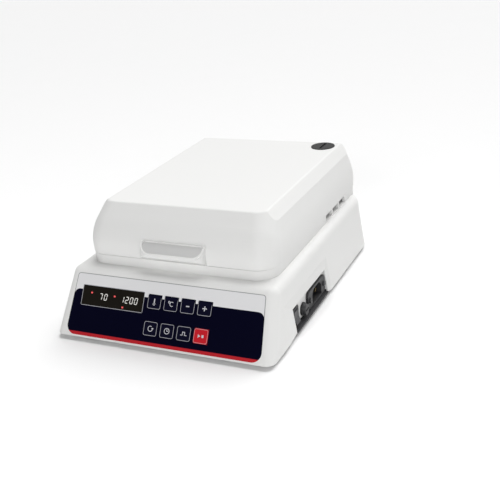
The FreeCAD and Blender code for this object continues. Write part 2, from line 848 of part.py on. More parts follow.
keep("control_board", framed(cut("control_board", box(
    "control_board_blank",
    ("-board_length / 2", "board_low_v", "board_n - board_thickness"),
    ("board_length / 2", "board_high_v", "board_n")), [
    cylinder(f"control_board_hole_{i}", "board_screw_radius", "2 * board_thickness",
             (x, v, "board_n - 1.5 * board_thickness"))
    for i, (x, v) in enumerate(board_spots, start=1)
]), PANEL))
keep("board_screws", framed(group("board_screws", [
    screw(f"board_screw_{i}", "board_screw_radius", "board_screw_head_radius", "board_thickness",
          "board_thickness + 3.5 * board_screw_radius", (x, v, "(board_n - board_thickness)"))
    for i, (x, v) in enumerate(board_spots, start=1)
]), PANEL))
plunger_top = f"({stem_low} - key_travel - 0.1)"
tacts = []
for name, (x, v) in zip(key_names, key_spots):
    tact_body = panel_block(f"tact_body_{name}", x, v, "tact_size", "tact_size", "board_n",
                            "board_n + tact_height")
    plunger = cylinder(f"tact_plunger_{name}", "tact_plunger_radius",
                       f"{plunger_top} - board_n - tact_height / 2",
                       (x, v, "board_n + tact_height / 2"))
    tacts.append(fuse(f"tact_{name}", [tact_body, plunger]))
keep("tact_switches", framed(group("tact_switches", tacts), PANEL))


# Side recess: panel, rocker switch, fuse holder and power inlet

def side_block(name, s, t, length, height, low_m, high_m):
    """A block in the right wall's frame, given by its middle and its two lengths."""
    return box(
        name,
        (f"{s} - ({length}) / 2", f"{t} - ({height}) / 2", low_m),
        (f"{s} + ({length}) / 2", f"{t} + ({height}) / 2", high_m))


panel_back = "(panel_m - inlet_panel_thickness)"
inlet_screw_spots = [f"(inlet_y + {side}inlet_screw_pitch / 2)" for side in ("-", "")]
inlet_panel_blank = box(
    "inlet_panel_blank",
    ("recess_front_y - 2 * recess_margin", "recess_low_t", panel_back),
    ("recess_rear_y + 2 * recess_margin", "recess_height + 2 * recess_margin", "panel_m"))
keep("inlet_panel", framed(cut("inlet_panel", inlet_panel_blank, [
    side_block("rocker_cutout", "rocker_y", "rocker_t", "rocker_body_length", "rocker_body_height",
               "panel_m - wall", "panel_m + wall"),
    cylinder("fuse_cutout", "fuse_body_radius", "2 * wall", ("fuse_y", "fuse_t", "panel_m - wall")),
    side_block("inlet_cutout", "inlet_y", "inlet_t", "inlet_body_length", "inlet_body_height",
               "panel_m - wall", "panel_m + wall"),
] + [
    cylinder(f"inlet_panel_hole_{i}", "inlet_screw_radius", "2 * wall", (s, "inlet_t", "panel_m - wall"))
    for i, s in enumerate(inlet_screw_spots, start=1)
]), SIDE))

pivot_m = "(panel_m - rocker_pivot_depth)"
rocker_hole_length = "rocker_body_length - 2 * rocker_skin"
rocker_hole_height = "rocker_body_height - 2 * rocker_skin"
keep("switch_frame", framed(cut("switch_frame", fuse("switch_frame_blank", [
    side_block("switch_flange", "rocker_y", "rocker_t", "rocker_frame_length", "rocker_frame_height",
               "panel_m", "panel_m + rocker_frame_rise"),
    side_block("switch_box", "rocker_y", "rocker_t", "rocker_body_length", "rocker_body_height",
               "panel_m - rocker_body_depth", "panel_m + rocker_frame_rise / 2"),
]), [
    side_block("switch_hole", "rocker_y", "rocker_t", rocker_hole_length, rocker_hole_height,
               "panel_m - rocker_body_depth + rocker_skin", "panel_m + wall"),
    cylinder("pivot_hole", "rocker_pivot_radius + running_gap", "rocker_body_length",
             ("rocker_y - rocker_body_length / 2", "rocker_t", pivot_m), "x"),
]), SIDE))

paddle = new_body("paddle")
paddle_outline = new_sketch(paddle, "paddle_outline", "YZ_Plane")
wing_top = "rocker_pivot_depth + rocker_rise + rocker_half * tan(rocker_tilt)"
polygon(paddle_outline, [
    ("-rocker_half", wing_top),
    ("-rocker_half", "-rocker_pivot_radius / 2"),
    ("-rocker_half / 4", "-rocker_half / 2"),
    ("rocker_half / 4", "-rocker_half / 2"),
    ("rocker_half", "-rocker_pivot_radius / 2"),
    ("rocker_half", wing_top),
    ("0", "rocker_pivot_depth + rocker_rise"),
])
pad(paddle, "paddle_pad", paddle_outline, f"{rocker_hole_length} - 2 * rocker_gap", both_ways=True)
trunnion = cylinder("trunnion", "rocker_pivot_radius", "rocker_body_length - 2 * rocker_gap",
                    ("rocker_gap - rocker_body_length / 2", "0", "0"), "x")
rocker = fuse("rocker", [paddle, trunnion])
rocker_tilt = FreeCAD.Rotation(FreeCAD.Vector(1, 0, 0), -measure("rocker_tilt"))
rocker_spot = FreeCAD.Vector(measure("rocker_y"), measure("rocker_t"), measure(pivot_m))
keep("power_rocker", framed(rocker, SIDE.multiply(FreeCAD.Placement(rocker_spot, rocker_tilt))))

fuse_face = "(panel_m + fuse_flange_height)"
fuse_end = "(panel_m - fuse_body_length)"
keep("fuse_socket", framed(cut("fuse_socket", fuse("fuse_socket_blank", [
    cylinder("fuse_flange", "fuse_flange_radius", "fuse_flange_height", ("fuse_y", "fuse_t", "panel_m")),
    cylinder("fuse_body", "fuse_body_radius", "fuse_body_length + fuse_flange_height / 2",
             ("fuse_y", "fuse_t", fuse_end)),
]), [
    cylinder("fuse_bore", "fuse_bore_radius", "fuse_body_length + wall",
             ("fuse_y", "fuse_t", f"{fuse_end} + inlet_panel_thickness")),
]), SIDE))

cap_low = f"({fuse_face} + running_gap)"
sleeve_low = f"({cap_low} - fuse_sleeve_length)"
link_high = f"({cap_low} - fuse_sleeve_length / 2)"
fuse_cap_blank = fuse("fuse_cap_blank", [
    cone("fuse_head", "fuse_cap_radius", "fuse_cap_radius - fuse_cap_taper", "fuse_cap_height",
         ("fuse_y", "fuse_t", cap_low)),
    cylinder("fuse_sleeve", "fuse_bore_radius - running_gap", "fuse_sleeve_length + fuse_cap_height / 2",
             ("fuse_y", "fuse_t", sleeve_low)),
])
keep("fuse_cap", framed(cut("fuse_cap", fuse_cap_blank, [
    side_block("fuse_slot", "fuse_y", "fuse_t", "fuse_slot_length", "fuse_slot_width",
               f"{cap_low} + fuse_cap_height - fuse_slot_depth",
               f"{cap_low} + fuse_cap_height + wall"),
    cylinder("fuse_link_seat", "fuse_link_radius", "fuse_sleeve_length / 2",
             ("fuse_y", "fuse_t", sleeve_low)),
]), SIDE))
keep("fuse_link", framed(group("fuse_link", [
    cylinder("fuse_link_tube", "fuse_link_radius", "fuse_link_length",
             ("fuse_y", "fuse_t", f"{link_high} - fuse_link_length")),
]), SIDE))

inlet_face = "(panel_m + inlet_flange_thickness)"
inlet_back = "(panel_m - inlet_body_depth)"
flange_body = new_body("inlet_flange")
flange_outline = new_sketch(flange_body, "inlet_flange_outline", offset="panel_m")
polygon(flange_outline, [
    ("-inlet_flange_length / 2", "-inlet_flange_height / 2"),
    ("inlet_flange_length / 2", "-inlet_flange_height / 2"),
    ("inlet_flange_length / 2", "inlet_flange_height / 2"),
    ("-inlet_flange_length / 2", "inlet_flange_height / 2"),
])
pad(flange_body, "inlet_flange_pad", flange_outline, "inlet_flange_thickness")
round_edges(flange_body, "inlet_flange_corners", lambda p, e: upright(e), "inlet_flange_height / 4")
place(flange_body, "inlet_y", "inlet_t", "0")
socket = new_body("inlet_socket")
socket_outline = new_sketch(socket, "inlet_socket_outline", offset=f"{inlet_face} - inlet_socket_depth")
socket_chamfer = "inlet_socket_height / 3"
polygon(socket_outline, [
    ("-inlet_socket_length / 2", "-inlet_socket_height / 2"),
    ("inlet_socket_length / 2", "-inlet_socket_height / 2"),
    ("inlet_socket_length / 2", f"inlet_socket_height / 2 - {socket_chamfer}"),
    (f"inlet_socket_length / 2 - {socket_chamfer}", "inlet_socket_height / 2"),
    (f"{socket_chamfer} - inlet_socket_length / 2", "inlet_socket_height / 2"),
    ("-inlet_socket_length / 2", f"inlet_socket_height / 2 - {socket_chamfer}"),
])
pad(socket, "inlet_socket_pad", socket_outline, "inlet_socket_depth + wall")
place(socket, "inlet_y", "inlet_t", "0")
pin_spots = [
    (f"(inlet_y + {column} * pin_pitch)", t)
    for column, t in ((-1, "(inlet_t - pin_offset / 2)"), (0, "(inlet_t + pin_offset / 2)"),
                      (1, "(inlet_t - pin_offset / 2)"))
]


def inlet_pin_set(name):
    """The three contact blades, which run through the inlet's floor."""
    return [
        side_block(f"{name}_{i}", s, t, "pin_thickness", "pin_width", f"{inlet_back} - pin_width",
                   f"{inlet_face} - inlet_socket_depth + pin_length")
        for i, (s, t) in enumerate(pin_spots, start=1)
    ]


inlet_blank = fuse("inlet_blank", [
    flange_body,
    side_block("inlet_body", "inlet_y", "inlet_t", "inlet_body_length", "inlet_body_height", inlet_back,
               "panel_m + inlet_flange_thickness / 2"),
])
keep("power_inlet", framed(cut("power_inlet", inlet_blank, [socket] + inlet_pin_set("pin_hole") + [
    cylinder(f"inlet_flange_hole_{i}", "inlet_screw_radius", "3 * wall", (s, "inlet_t", "panel_m - wall"))
    for i, s in enumerate(inlet_screw_spots, start=1)
]), SIDE))
keep("inlet_pins", framed(group("inlet_pins", inlet_pin_set("inlet_pin")), SIDE))
inlet_screws = []
for i, s in enumerate(inlet_screw_spots, start=1):
    head = cylinder(f"inlet_screw_head_{i}", "inlet_screw_head_radius", "inlet_screw_radius",
                    (s, "inlet_t", inlet_face))
    shank = cylinder(f"inlet_screw_shank_{i}", "inlet_screw_radius", f"{inlet_face} - {panel_back} + wall",
                     (s, "inlet_t", f"{panel_back} - wall / 2"))
    slot = side_block(f"inlet_screw_slot_{i}", s, "inlet_t", "2 * inlet_screw_head_radius",
                      "inlet_screw_radius / 2",
                      f"{inlet_face} + inlet_screw_radius / 2", f"{inlet_face} + 2 * inlet_screw_radius")
    inlet_screws.append(cut(f"inlet_screw_{i}", fuse(f"inlet_screw_blank_{i}", [head, shank]), [slot]))
keep("inlet_screws", framed(group("inlet_screws", inlet_screws), SIDE))


# Power supply on the base plate

board_z = "(plate_top_z + standoff_height)"
keep("power_board", box(
    "power_board",
    ("-power_board_length / 2", "power_board_y - power_board_breadth / 2", board_z),
    ("power_board_length / 2", "power_board_y + power_board_breadth / 2", f"{board_z} + board_thickness")))
keep("board_standoffs", group("board_standoffs", [
    cylinder(f"standoff_{i}", "standoff_radius", "standoff_height",
             (f"{a}(power_board_length / 2 - 2 * standoff_radius)",
              f"power_board_y + {b}(power_board_breadth / 2 - 2 * standoff_radius)", "plate_top_z"))
    for i, (a, b) in enumerate((("-", "-"), ("", "-"), ("-", ""), ("", "")), start=1)
]))
part_z = f"({board_z} + board_thickness)"
core = box(
    "transformer_core",
    ("-power_board_length / 4 - transformer_length / 2", "power_board_y - transformer_breadth / 2", part_z),
    ("-power_board_length / 4 + transformer_length / 2", "power_board_y + transformer_breadth / 2",
     f"{part_z} + transformer_height"))
coil = box(
    "transformer_coil",
    ("-power_board_length / 4 - transformer_length / 4",
     "power_board_y - transformer_breadth / 2 - wall", part_z),
    ("-power_board_length / 4 + transformer_length / 4", "power_board_y + transformer_breadth / 2 + wall",
     f"{part_z} + 0.8 * transformer_height"))
keep("power_transformer", fuse("power_transformer", [core, coil]))
keep("filter_capacitors", group("filter_capacitors", [
    cylinder(f"filter_capacitor_{i}", "capacitor_radius", "capacitor_height",
             (f"{x} * capacitor_radius", "power_board_y", part_z))
    for i, x in enumerate((1, 3.5, 6), start=1)
]))


# Orbital drive

keep("drive_posts", group("drive_posts", [
    cylinder(f"drive_post_{i}", "post_radius", "drive_plate_z - plate_top_z",
             (f"{a}(drive_plate_length / 2 - post_inset)",
              f"chamber_y + {b}(drive_plate_breadth / 2 - post_inset)", "plate_top_z"))
    for i, (a, b) in enumerate((("-", "-"), ("", "-"), ("-", ""), ("", "")), start=1)
]))
drive_blank = plate(
    "drive_blank", "drive_plate_length / 2", "chamber_y - drive_plate_breadth / 2",
    "chamber_y + drive_plate_breadth / 2", "post_inset", "post_inset", "drive_plate_z",
    "drive_plate_thickness")
idler_spots = {"left": "-idler_x", "right": "idler_x"}
keep("drive_plate", cut("drive_plate", drive_blank, [
    cylinder("shaft_hole", "shaft_radius + running_gap", "2 * drive_plate_thickness",
             ("0", "chamber_y", "drive_plate_z - drive_plate_thickness / 2")),
] + [
    cylinder(f"idler_bore_{side}", "idler_radius + running_gap", "2 * drive_plate_thickness",
             (x, "chamber_y", "drive_plate_z - drive_plate_thickness / 2"))
    for side, x in idler_spots.items()
]))
shaft_low_z = "(motor_z + motor_height / 3)"
keep("drive_motor", cut("drive_motor", fuse("motor_blank", [
    cylinder("motor_can", "motor_radius", "motor_height", ("0", "chamber_y", "motor_z")),
    cylinder("motor_boss", "motor_boss_radius", "motor_height / 2", ("0", "chamber_y", "motor_z - wall")),
]), [
    cylinder("motor_bore", "shaft_radius + running_gap", "motor_height",
             ("0", "chamber_y", f"{shaft_low_z} - running_gap")),
]))
journal_low_z = "(weight_z + counterweight_thickness)"
journal_high_z = "(heater_z - counterweight_gap / 5)"
keep("drive_shaft", fuse("drive_shaft", [
    cylinder("shaft_bar", "shaft_radius", f"{journal_low_z} - {shaft_low_z} + platform_gap / 2",
             ("0", "chamber_y", shaft_low_z)),
    cylinder("shaft_journal", "journal_radius", f"{journal_high_z} - {journal_low_z}",
             ("orbit_radius", "chamber_y", journal_low_z)),
]))
weight_body = new_body("weight_body")
weight_sketch = new_sketch(weight_body, "weight_outline", offset="weight_z")
weight_radius = measure("counterweight_radius")
edge_line = Part.LineSegment(FreeCAD.Vector(0, -weight_radius, 0), FreeCAD.Vector(0, weight_radius, 0))
rim_circle = Part.Circle(FreeCAD.Vector(0, 0, 0), FreeCAD.Vector(0, 0, 1), weight_radius)
rim = weight_sketch.addGeometry(Part.ArcOfCircle(rim_circle, 1.5707963267948966, 4.71238898038469))
edge = weight_sketch.addGeometry(edge_line)
weight_sketch.addConstraint(Sketcher.Constraint("Coincident", rim, 3, -1, 1))
weight_sketch.addConstraint(Sketcher.Constraint("Coincident", rim, 2, edge, 1))
weight_sketch.addConstraint(Sketcher.Constraint("Coincident", edge, 2, rim, 1))
weight_sketch.addConstraint(Sketcher.Constraint("PointOnObject", edge, 1, -2))
weight_sketch.addConstraint(Sketcher.Constraint("PointOnObject", edge, 2, -2))
index = weight_sketch.addConstraint(Sketcher.Constraint("Radius", rim, weight_radius))
bind(weight_sketch, f"Constraints[{index}]", "counterweight_radius")
pad(weight_body, "weight_pad", weight_sketch, "counterweight_thickness")
place(weight_body, "0", "chamber_y", "0")
keep("counterweight", cut("counterweight", fuse("weight_blank", [
    weight_body,
    cylinder("weight_hub", "2 * shaft_radius", "counterweight_thickness", ("0", "chamber_y", "weight_z")),
]), [
    cylinder("weight_bore", "shaft_radius", "3 * counterweight_thickness",
             ("0", "chamber_y", "weight_z - counterweight_thickness")),
]))
idler_flange_z = "(drive_top_z + counterweight_gap / 5)"
for side, x in idler_spots.items():
    keep(f"idler_crank_{side}", fuse(f"idler_crank_{side}", [
        cylinder(f"idler_journal_{side}", "idler_radius",
                 f"{idler_flange_z} - drive_plate_z + idler_flange_height / 2",
                 (x, "chamber_y", "drive_plate_z")),
        cylinder(f"idler_flange_{side}", "idler_flange_radius", "idler_flange_height",
                 (x, "chamber_y", idler_flange_z)),
        cylinder(f"idler_pin_{side}", "idler_radius",
                 f"{journal_high_z} - {idler_flange_z} - idler_flange_height / 2",
                 (f"{x} + orbit_radius", "chamber_y", f"{idler_flange_z} + idler_flange_height / 2")),
    ]))

platform_blank = plate(
    "platform_blank", "platform_length / 2", "chamber_y - platform_breadth / 2",
    "chamber_y + platform_breadth / 2",
    "block_corner", "block_corner", "platform_z", "platform_thickness")
place(platform_blank, "orbit_radius", "0", "0")
block_screw_spots = [f"({side}block_screw_x + orbit_radius)" for side in ("-", "")]
screw_foot_z = "(platform_z + platform_thickness / 4)"
keep("orbit_platform", cut("orbit_platform", platform_blank, [
    cylinder("journal_bore", "journal_radius + running_gap", "2 * platform_thickness",
             ("orbit_radius", "chamber_y", "platform_z - platform_thickness / 2")),
] + [
    cylinder(f"idler_pin_bore_{side}", "idler_radius + running_gap", "2 * platform_thickness",
             (f"{x} + orbit_radius", "chamber_y", "platform_z - platform_thickness / 2"))
    for side, x in idler_spots.items()
] + [
    cylinder(f"platform_thread_{i}", "block_screw_radius", "platform_thickness",
             (x, "chamber_y", screw_foot_z))
    for i, x in enumerate(block_screw_spots, start=1)
]))


# Heated block

heater_blank = plate(
    "heater_blank", "block_length / 2 + heater_margin", "chamber_y - block_breadth / 2 - heater_margin",
    "chamber_y + block_breadth / 2 + heater_margin", "block_corner", "block_corner", "heater_z",
    "heater_thickness")
place(heater_blank, "orbit_radius", "0", "0")
keep("heater_plate", cut("heater_plate", heater_blank, [
    cylinder(f"heater_hole_{i}", "block_screw_radius", "3 * heater_thickness",
             (x, "chamber_y", "heater_z - heater_thickness"))
    for i, x in enumerate(block_screw_spots, start=1)
]))

block = plate(
    "block_blank", "block_length / 2", "chamber_y - block_breadth / 2", "chamber_y + block_breadth / 2",
    "block_corner", "block_corner", "block_z", "block_height")
well_sketch = new_sketch(block, "well_centres", offset="block_top_z")
for row in range(4):
    for column in range(6):
        x = f"{column - 2.5} * well_pitch"
        y = f"chamber_y + {row - 1.5} * well_pitch"
        circle = Part.Circle(FreeCAD.Vector(measure(x), measure(y), 0), FreeCAD.Vector(0, 0, 1),
                             measure("well_radius"))
        tie_point(well_sketch, well_sketch.addGeometry(circle), 3, x, y)
        index = well_sketch.addConstraint(
            Sketcher.Constraint("Radius", well_sketch.GeometryCount - 1, measure("well_radius")))
        bind(well_sketch, f"Constraints[{index}]", "well_radius")
doc.recompute()
wells = block.newObject("PartDesign::Hole", "wells")
wells.Profile = well_sketch
wells.DepthType = "Dimension"
bind(wells, "Diameter", "2 * well_radius")
bind(wells, "Depth", "well_depth")
wells.DrillPoint = "Angled"
wells.DrillPointAngle = 118
place(block, "orbit_radius", "0", "0")
head_seat_z = "(block_top_z - block_screw_sink)"
sensor_z = "(block_z + 1.6 * sensor_radius)"
sensor_rear_y = "(chamber_y + block_breadth / 2 + wall)"
keep("tube_block", cut("tube_block", block, [
    cylinder(f"block_screw_bore_{i}", "block_screw_radius", "2 * block_height",
             (x, "chamber_y", "block_z - 1"))
    for i, x in enumerate(block_screw_spots, start=1)
] + [
    cylinder(f"block_screw_seat_{i}", "block_screw_head_radius + 0.5", "2 * block_screw_sink",
             (x, "chamber_y", head_seat_z))
    for i, x in enumerate(block_screw_spots, start=1)
] + [
    cylinder("sensor_bore", "sensor_radius", "sensor_length + wall",
             ("orbit_radius", f"{sensor_rear_y} - sensor_length", sensor_z), "y"),
]))
block_screws = []
for i, x in enumerate(block_screw_spots, start=1):
    head = cylinder(f"block_screw_head_{i}", "block_screw_head_radius", "block_screw_head_height",
                    (x, "chamber_y", head_seat_z))
    shank = cylinder(f"block_screw_shank_{i}", "block_screw_radius", f"{head_seat_z} - {screw_foot_z} + 1",
                     (x, "chamber_y", screw_foot_z))
    socket_hole = cylinder(f"block_screw_socket_{i}", "block_screw_radius", "block_screw_head_height / 2",
                           (x, "chamber_y", f"{head_seat_z} + block_screw_head_height / 2"))
    block_screws.append(cut(f"block_screw_{i}", fuse(f"block_screw_blank_{i}", [head, shank]), [socket_hole]))
keep("block_screws", group("block_screws", block_screws))
keep("temperature_sensor", cylinder("temperature_sensor", "sensor_radius", "sensor_length",
                                    ("orbit_radius", f"{sensor_rear_y} - sensor_length", sensor_z), "y"))


# Collar and chamber liner

collar_ring = plate(
    "collar_ring", "collar_width / 2", "collar_front_y", "hinge_y", "collar_front_corner",
    "collar_rear_corner",
    "deck_z - deck_round", "collar_height + deck_round")
collar_hollow = plate(
    "collar_hollow", "collar_width / 2 - collar_wall", "collar_front_y + collar_wall",
    "hinge_y - collar_wall",
    "collar_front_corner - collar_wall", "collar_rear_corner - collar_wall",
    "deck_z - 2 * deck_round", "2 * deck_round + collar_height - shelf_thickness")
collar_opening = box(
    "collar_opening",
    ("-chamber_length / 2", "chamber_y - chamber_breadth / 2", "deck_z"),
    ("chamber_length / 2", "chamber_y + chamber_breadth / 2", "seam_z + shelf_thickness"))
vents = []
for side in ("-", ""):
    for number in range(3):
        vents.append(box(
            f"vent_{number}{'_left' if side else '_right'}",
            (f"{side}collar_width / 2 - 2 * collar_wall",
             f"vent_first_y + {number} * vent_pitch - vent_length / 2",
             "deck_z + collar_height / 2 - vent_height / 2 - vent_drop"),
            (f"{side}collar_width / 2 + 2 * collar_wall",
             f"vent_first_y + {number} * vent_pitch + vent_length / 2",
             "deck_z + collar_height / 2 + vent_height / 2 - vent_drop")))

hinge_spots = {"left": "-hinge_x", "right": "hinge_x"}
side_start = "(knuckle_length / 2 + knuckle_gap)"
side_end = f"({side_start} + side_knuckle_length)"
collar_knuckles = []
collar_clearances = []
lid_knuckles = []
lid_clearances = []
pin_holes = []
running_holes = []
pins = []
for side, x in hinge_spots.items():
    middle = f"({x})"
    for end, low, high in (("a", f"-{side_end}", f"-{side_start}"), ("b", side_start, side_end)):
        collar_knuckles.append(cylinder(f"collar_knuckle_{side}_{end}", "knuckle_radius", f"{high} - ({low})",
                                        (f"{middle} + {low}", "hinge_y", "hinge_z"), "x"))
        lid_clearances.append(cylinder(f"lid_clearance_{side}_{end}", "knuckle_radius + knuckle_gap",
                                       f"{high} - ({low}) + 2 * knuckle_gap",
                                       (f"{middle} + {low} - knuckle_gap", "hinge_y", "hinge_z"), "x"))
    lid_knuckles.append(cylinder(f"lid_knuckle_{side}", "knuckle_radius", "knuckle_length",
                                 (f"{middle} - knuckle_length / 2", "hinge_y", "hinge_z"), "x"))
    collar_clearances.append(cylinder(f"collar_clearance_{side}", "knuckle_radius + knuckle_gap",
                                      "knuckle_length + 2 * knuckle_gap",
                                      (f"{middle} - knuckle_length / 2 - knuckle_gap", "hinge_y",
                                       "hinge_z"), "x"))
    pin_holes.append(cylinder(f"pin_bore_{side}", "hinge_pin_radius", f"2 * {side_end}",
                              (f"{middle} - {side_end}", "hinge_y", "hinge_z"), "x"))
    running_holes.append(cylinder(f"lid_bore_{side}", "hinge_pin_radius + running_gap", f"2 * {side_end}",
                                  (f"{middle} - {side_end}", "hinge_y", "hinge_z"), "x"))
    pins.append(cylinder(f"hinge_pin_{side}", "hinge_pin_radius", f"2 * {side_end}",
                         (f"{middle} - {side_end}", "hinge_y", "hinge_z"), "x"))
collar_cut = cut("collar_cut", collar_ring,
                 [outer_form, collar_hollow, collar_opening] + vents + collar_clearances)
keep("collar_frame", cut("collar_frame", fuse("collar_solid", [collar_cut] + collar_knuckles), pin_holes))
keep("hinge_pins", group("hinge_pins", pins))

liner_half_x = "(chamber_length / 2 - plate_clearance)"
liner_half_y = "(chamber_breadth / 2 - plate_clearance)"
liner_low = f"chamber_y - {liner_half_y}"
liner_high = f"chamber_y + {liner_half_y}"
liner_sleeve = plate("liner_sleeve", liner_half_x, liner_low, liner_high, "block_corner", "block_corner",
                     "liner_floor_z", "seam_z - liner_floor_z + liner_wall / 2")
liner_rim = plate("liner_rim", f"{liner_half_x} + liner_flange", f"{liner_low} - liner_flange",
                  f"{liner_high} + liner_flange", "block_corner + liner_flange",
                  "block_corner + liner_flange",
                  "seam_z", "liner_wall * 2 / 3")
liner_space = plate("liner_space", f"{liner_half_x} - liner_wall", f"{liner_low} + liner_wall",
                    f"{liner_high} - liner_wall", "block_corner - liner_wall", "block_corner - liner_wall",
                    "liner_floor_z + liner_wall", "seam_z - liner_floor_z + wall")
keep("chamber_liner", cut("chamber_liner", fuse("liner_blank", [liner_sleeve, liner_rim]), [liner_space] + [
    cylinder(f"liner_idler_hole_{side}", "idler_flange_radius + 1", "4 * liner_wall",
             (x, "chamber_y", "liner_floor_z - liner_wall"))
    for side, x in idler_spots.items()
] + [
    cylinder("liner_shaft_hole", "shaft_radius + 2", "4 * liner_wall",
             ("0", "chamber_y", "liner_floor_z - liner_wall")),
]))


# Lid

def lid_form(name, inset, low_z):
    """The lid's domed form, or the same form drawn in by a wall."""
    body = new_body(name)
    high_z = f"lid_top_z - {inset}"
    belt_z = "lid_z + lid_belt_height"
    brow_z = "lid_z + lid_brow_height"
    front = f"collar_front_y + {inset}"
    rear = f"hinge_y - {inset}"
    profile = new_sketch(body, name + "_profile", "YZ_Plane")
    polygon(profile, [
        (front, low_z),
        (rear, low_z),
        (rear, belt_z),
        (f"{rear} - lid_top_rear", high_z),
        (f"{front} + lid_top_setback", high_z),
        (f"{front} + lid_brow_setback", brow_z),
        (f"{front} + lid_belt_setback", belt_z),
    ])
    pad(body, name + "_block", profile, "2 * lid_belt_width", both_ways=True)
    flanks = new_sketch(body, name + "_flanks", "XZ_Plane")
    crease_z = "lid_z + lid_crease_height"
    seam, belt, crease, top = [f"({width} / 2 - {inset})" for width in (
        "lid_seam_width", "lid_belt_width", "lid_crease_width", "lid_top_width")]
    lean = "(lid_belt_width - lid_crease_width) / 2 / (lid_crease_height - lid_belt_height)"
    shoulder = f"({crease} - {lean} * ({high_z} - ({crease_z})))"
    for side in ("-", ""):
        polygon(flanks, [
            (f"{side}{seam}", f"{low_z} - lid_wall"),
            (f"{side}2 * lid_belt_width", f"{low_z} - lid_wall"),
            (f"{side}2 * lid_belt_width", f"{high_z} + lid_wall"),
            (f"{side}{shoulder}", f"{high_z} + lid_wall"),
            (f"{side}{shoulder}", high_z),
            (f"{side}{belt}", belt_z),
            (f"{side}{seam}", low_z),
        ])
    pocket(body, name + "_sides", flanks, "2 * base_depth", both_ways=True)
    levels = {"belt": measure(belt_z), "brow": measure(brow_z)}

    def at_fold(point, *folds):
        return min(abs(point.z - levels[fold]) for fold in folds) < 0.01

    def across(edge):
        start, end = edge.Vertexes[0].Point, edge.Vertexes[-1].Point
        return abs(end.x - start.x) > 10

    def along(edge):
        start, end = edge.Vertexes[0].Point, edge.Vertexes[-1].Point
        return abs(end.y - start.y) > 50

    front_limit = measure("collar_front_y + lid_top_setback")
    round_edges(body, name + "_front_folds", lambda p, e: at_fold(p, "belt", "brow") and across(e),
                "lid_front_round")
    round_edges(body, name + "_side_folds", lambda p, e: at_fold(p, "belt") and along(e), "lid_side_round")
    round_edges(body, name + "_front_corners", lambda p, e: upright(e) and p.y < front_limit,
                f"lid_corner - {inset}")
    round_edges(body, name + "_rear_corners", lambda p, e: upright(e) and p.y > 0,
                f"lid_rear_corner - {inset}")
    bands = new_sketch(body, name + "_bands", "XZ_Plane")
    for side in ("-", ""):
        polygon(bands, [
            (f"{side}{crease}", crease_z),
            (f"{side}2 * lid_belt_width", crease_z),
            (f"{side}2 * lid_belt_width", f"{high_z} + lid_wall"),
            (f"{side}{top}", f"{high_z} + lid_wall"),
            (f"{side}{top}", high_z),
        ])
    pocket(body, name + "_band_cut", bands, "2 * base_depth", both_ways=True)
    return body


lid_outer = lid_form("lid_outer", "0", "lid_z")
top_level = measure("lid_top_z")
round_edges(lid_outer, "lid_top_edges", lambda p, e: abs(p.z - top_level) < 0.01, "lid_top_round")
lid_inner = lid_form("lid_inner", "lid_wall", "lid_z - lid_wall / 2")

grip = new_body("grip")
grip_sketch = new_sketch(grip, "grip_profile", "YZ_Plane")
polygon(grip_sketch, [
    ("collar_front_y + lid_wall / 2", "lid_z"),
    ("collar_front_y + lid_wall / 2", "lid_z + grip_height"),
    ("collar_front_y", "lid_z + grip_height"),
    ("collar_front_y - grip_reach", "lid_z + grip_lip"),
    ("collar_front_y - grip_reach", "lid_z + grip_lip - grip_rim"),
    ("collar_front_y", "lid_z"),
])
pad(grip, "grip_pad", grip_sketch, "grip_width", both_ways=True)
grip_front = measure("collar_front_y - grip_reach")
round_edges(grip, "grip_corners", lambda p, e: upright(e) and abs(p.y - grip_front) < 0.1, "grip_corner")
grip_drop = "(grip_height - grip_lip)"
grip_slope = f"sqrt(grip_reach * grip_reach + {grip_drop} * {grip_drop})"
grip_dish = plate("grip_dish_form", "grip_width / 2 - grip_dish_margin",
                  f"grip_dish_margin - {grip_slope}", "0",
                  "grip_corner - grip_dish_margin / 2", "grip_dish_margin", "-grip_dish",
                  "grip_dish + lid_wall")
grip_dish.Placement = FreeCAD.Placement(
    FreeCAD.Vector(0, measure("collar_front_y"), measure("lid_z + grip_height")),
    FreeCAD.Rotation(FreeCAD.Vector(1, 0, 0), measure(f"atan({grip_drop} / grip_reach)")))

lid_boss_spots = [
    (f"{side}lid_boss_x", y) for side in ("-", "") for y in ("lid_boss_front_y", "lid_boss_rear_y")
]
lid_bosses = [
    cylinder(f"lid_boss_{i}", "lid_boss_radius", "lid_top_z - tray_top_z - lid_wall / 2",
             (x, y, "tray_top_z"))
    for i, (x, y) in enumerate(lid_boss_spots, start=1)
]
lid_boss_holes = [
    cylinder(f"lid_boss_hole_{i}", "screw_radius", "3.2 * screw_radius", (x, y, "tray_top_z"))
    for i, (x, y) in enumerate(lid_boss_spots, start=1)
]
plug_seat = cylinder("plug_seat", "plug_radius + key_gap", "2 * plug_seat",
                     ("plug_x", "plug_y", "lid_top_z - plug_seat"))
plug_hole = cylinder("plug_hole", "plug_stem_radius + running_gap", "3 * lid_wall",
                     ("plug_x", "plug_y", "lid_top_z - 2 * lid_wall"))
lid_hollow = cut("lid_hollow", lid_outer, [lid_inner])
lid_cut = cut("lid_cut", fuse("lid_solid", [lid_hollow, grip] + lid_bosses),
              [grip_dish, plug_seat, plug_hole] + lid_boss_holes + lid_clearances)
keep("lid_shell", cut("lid_shell", fuse("lid_hinged", [lid_cut] + lid_knuckles), running_holes))

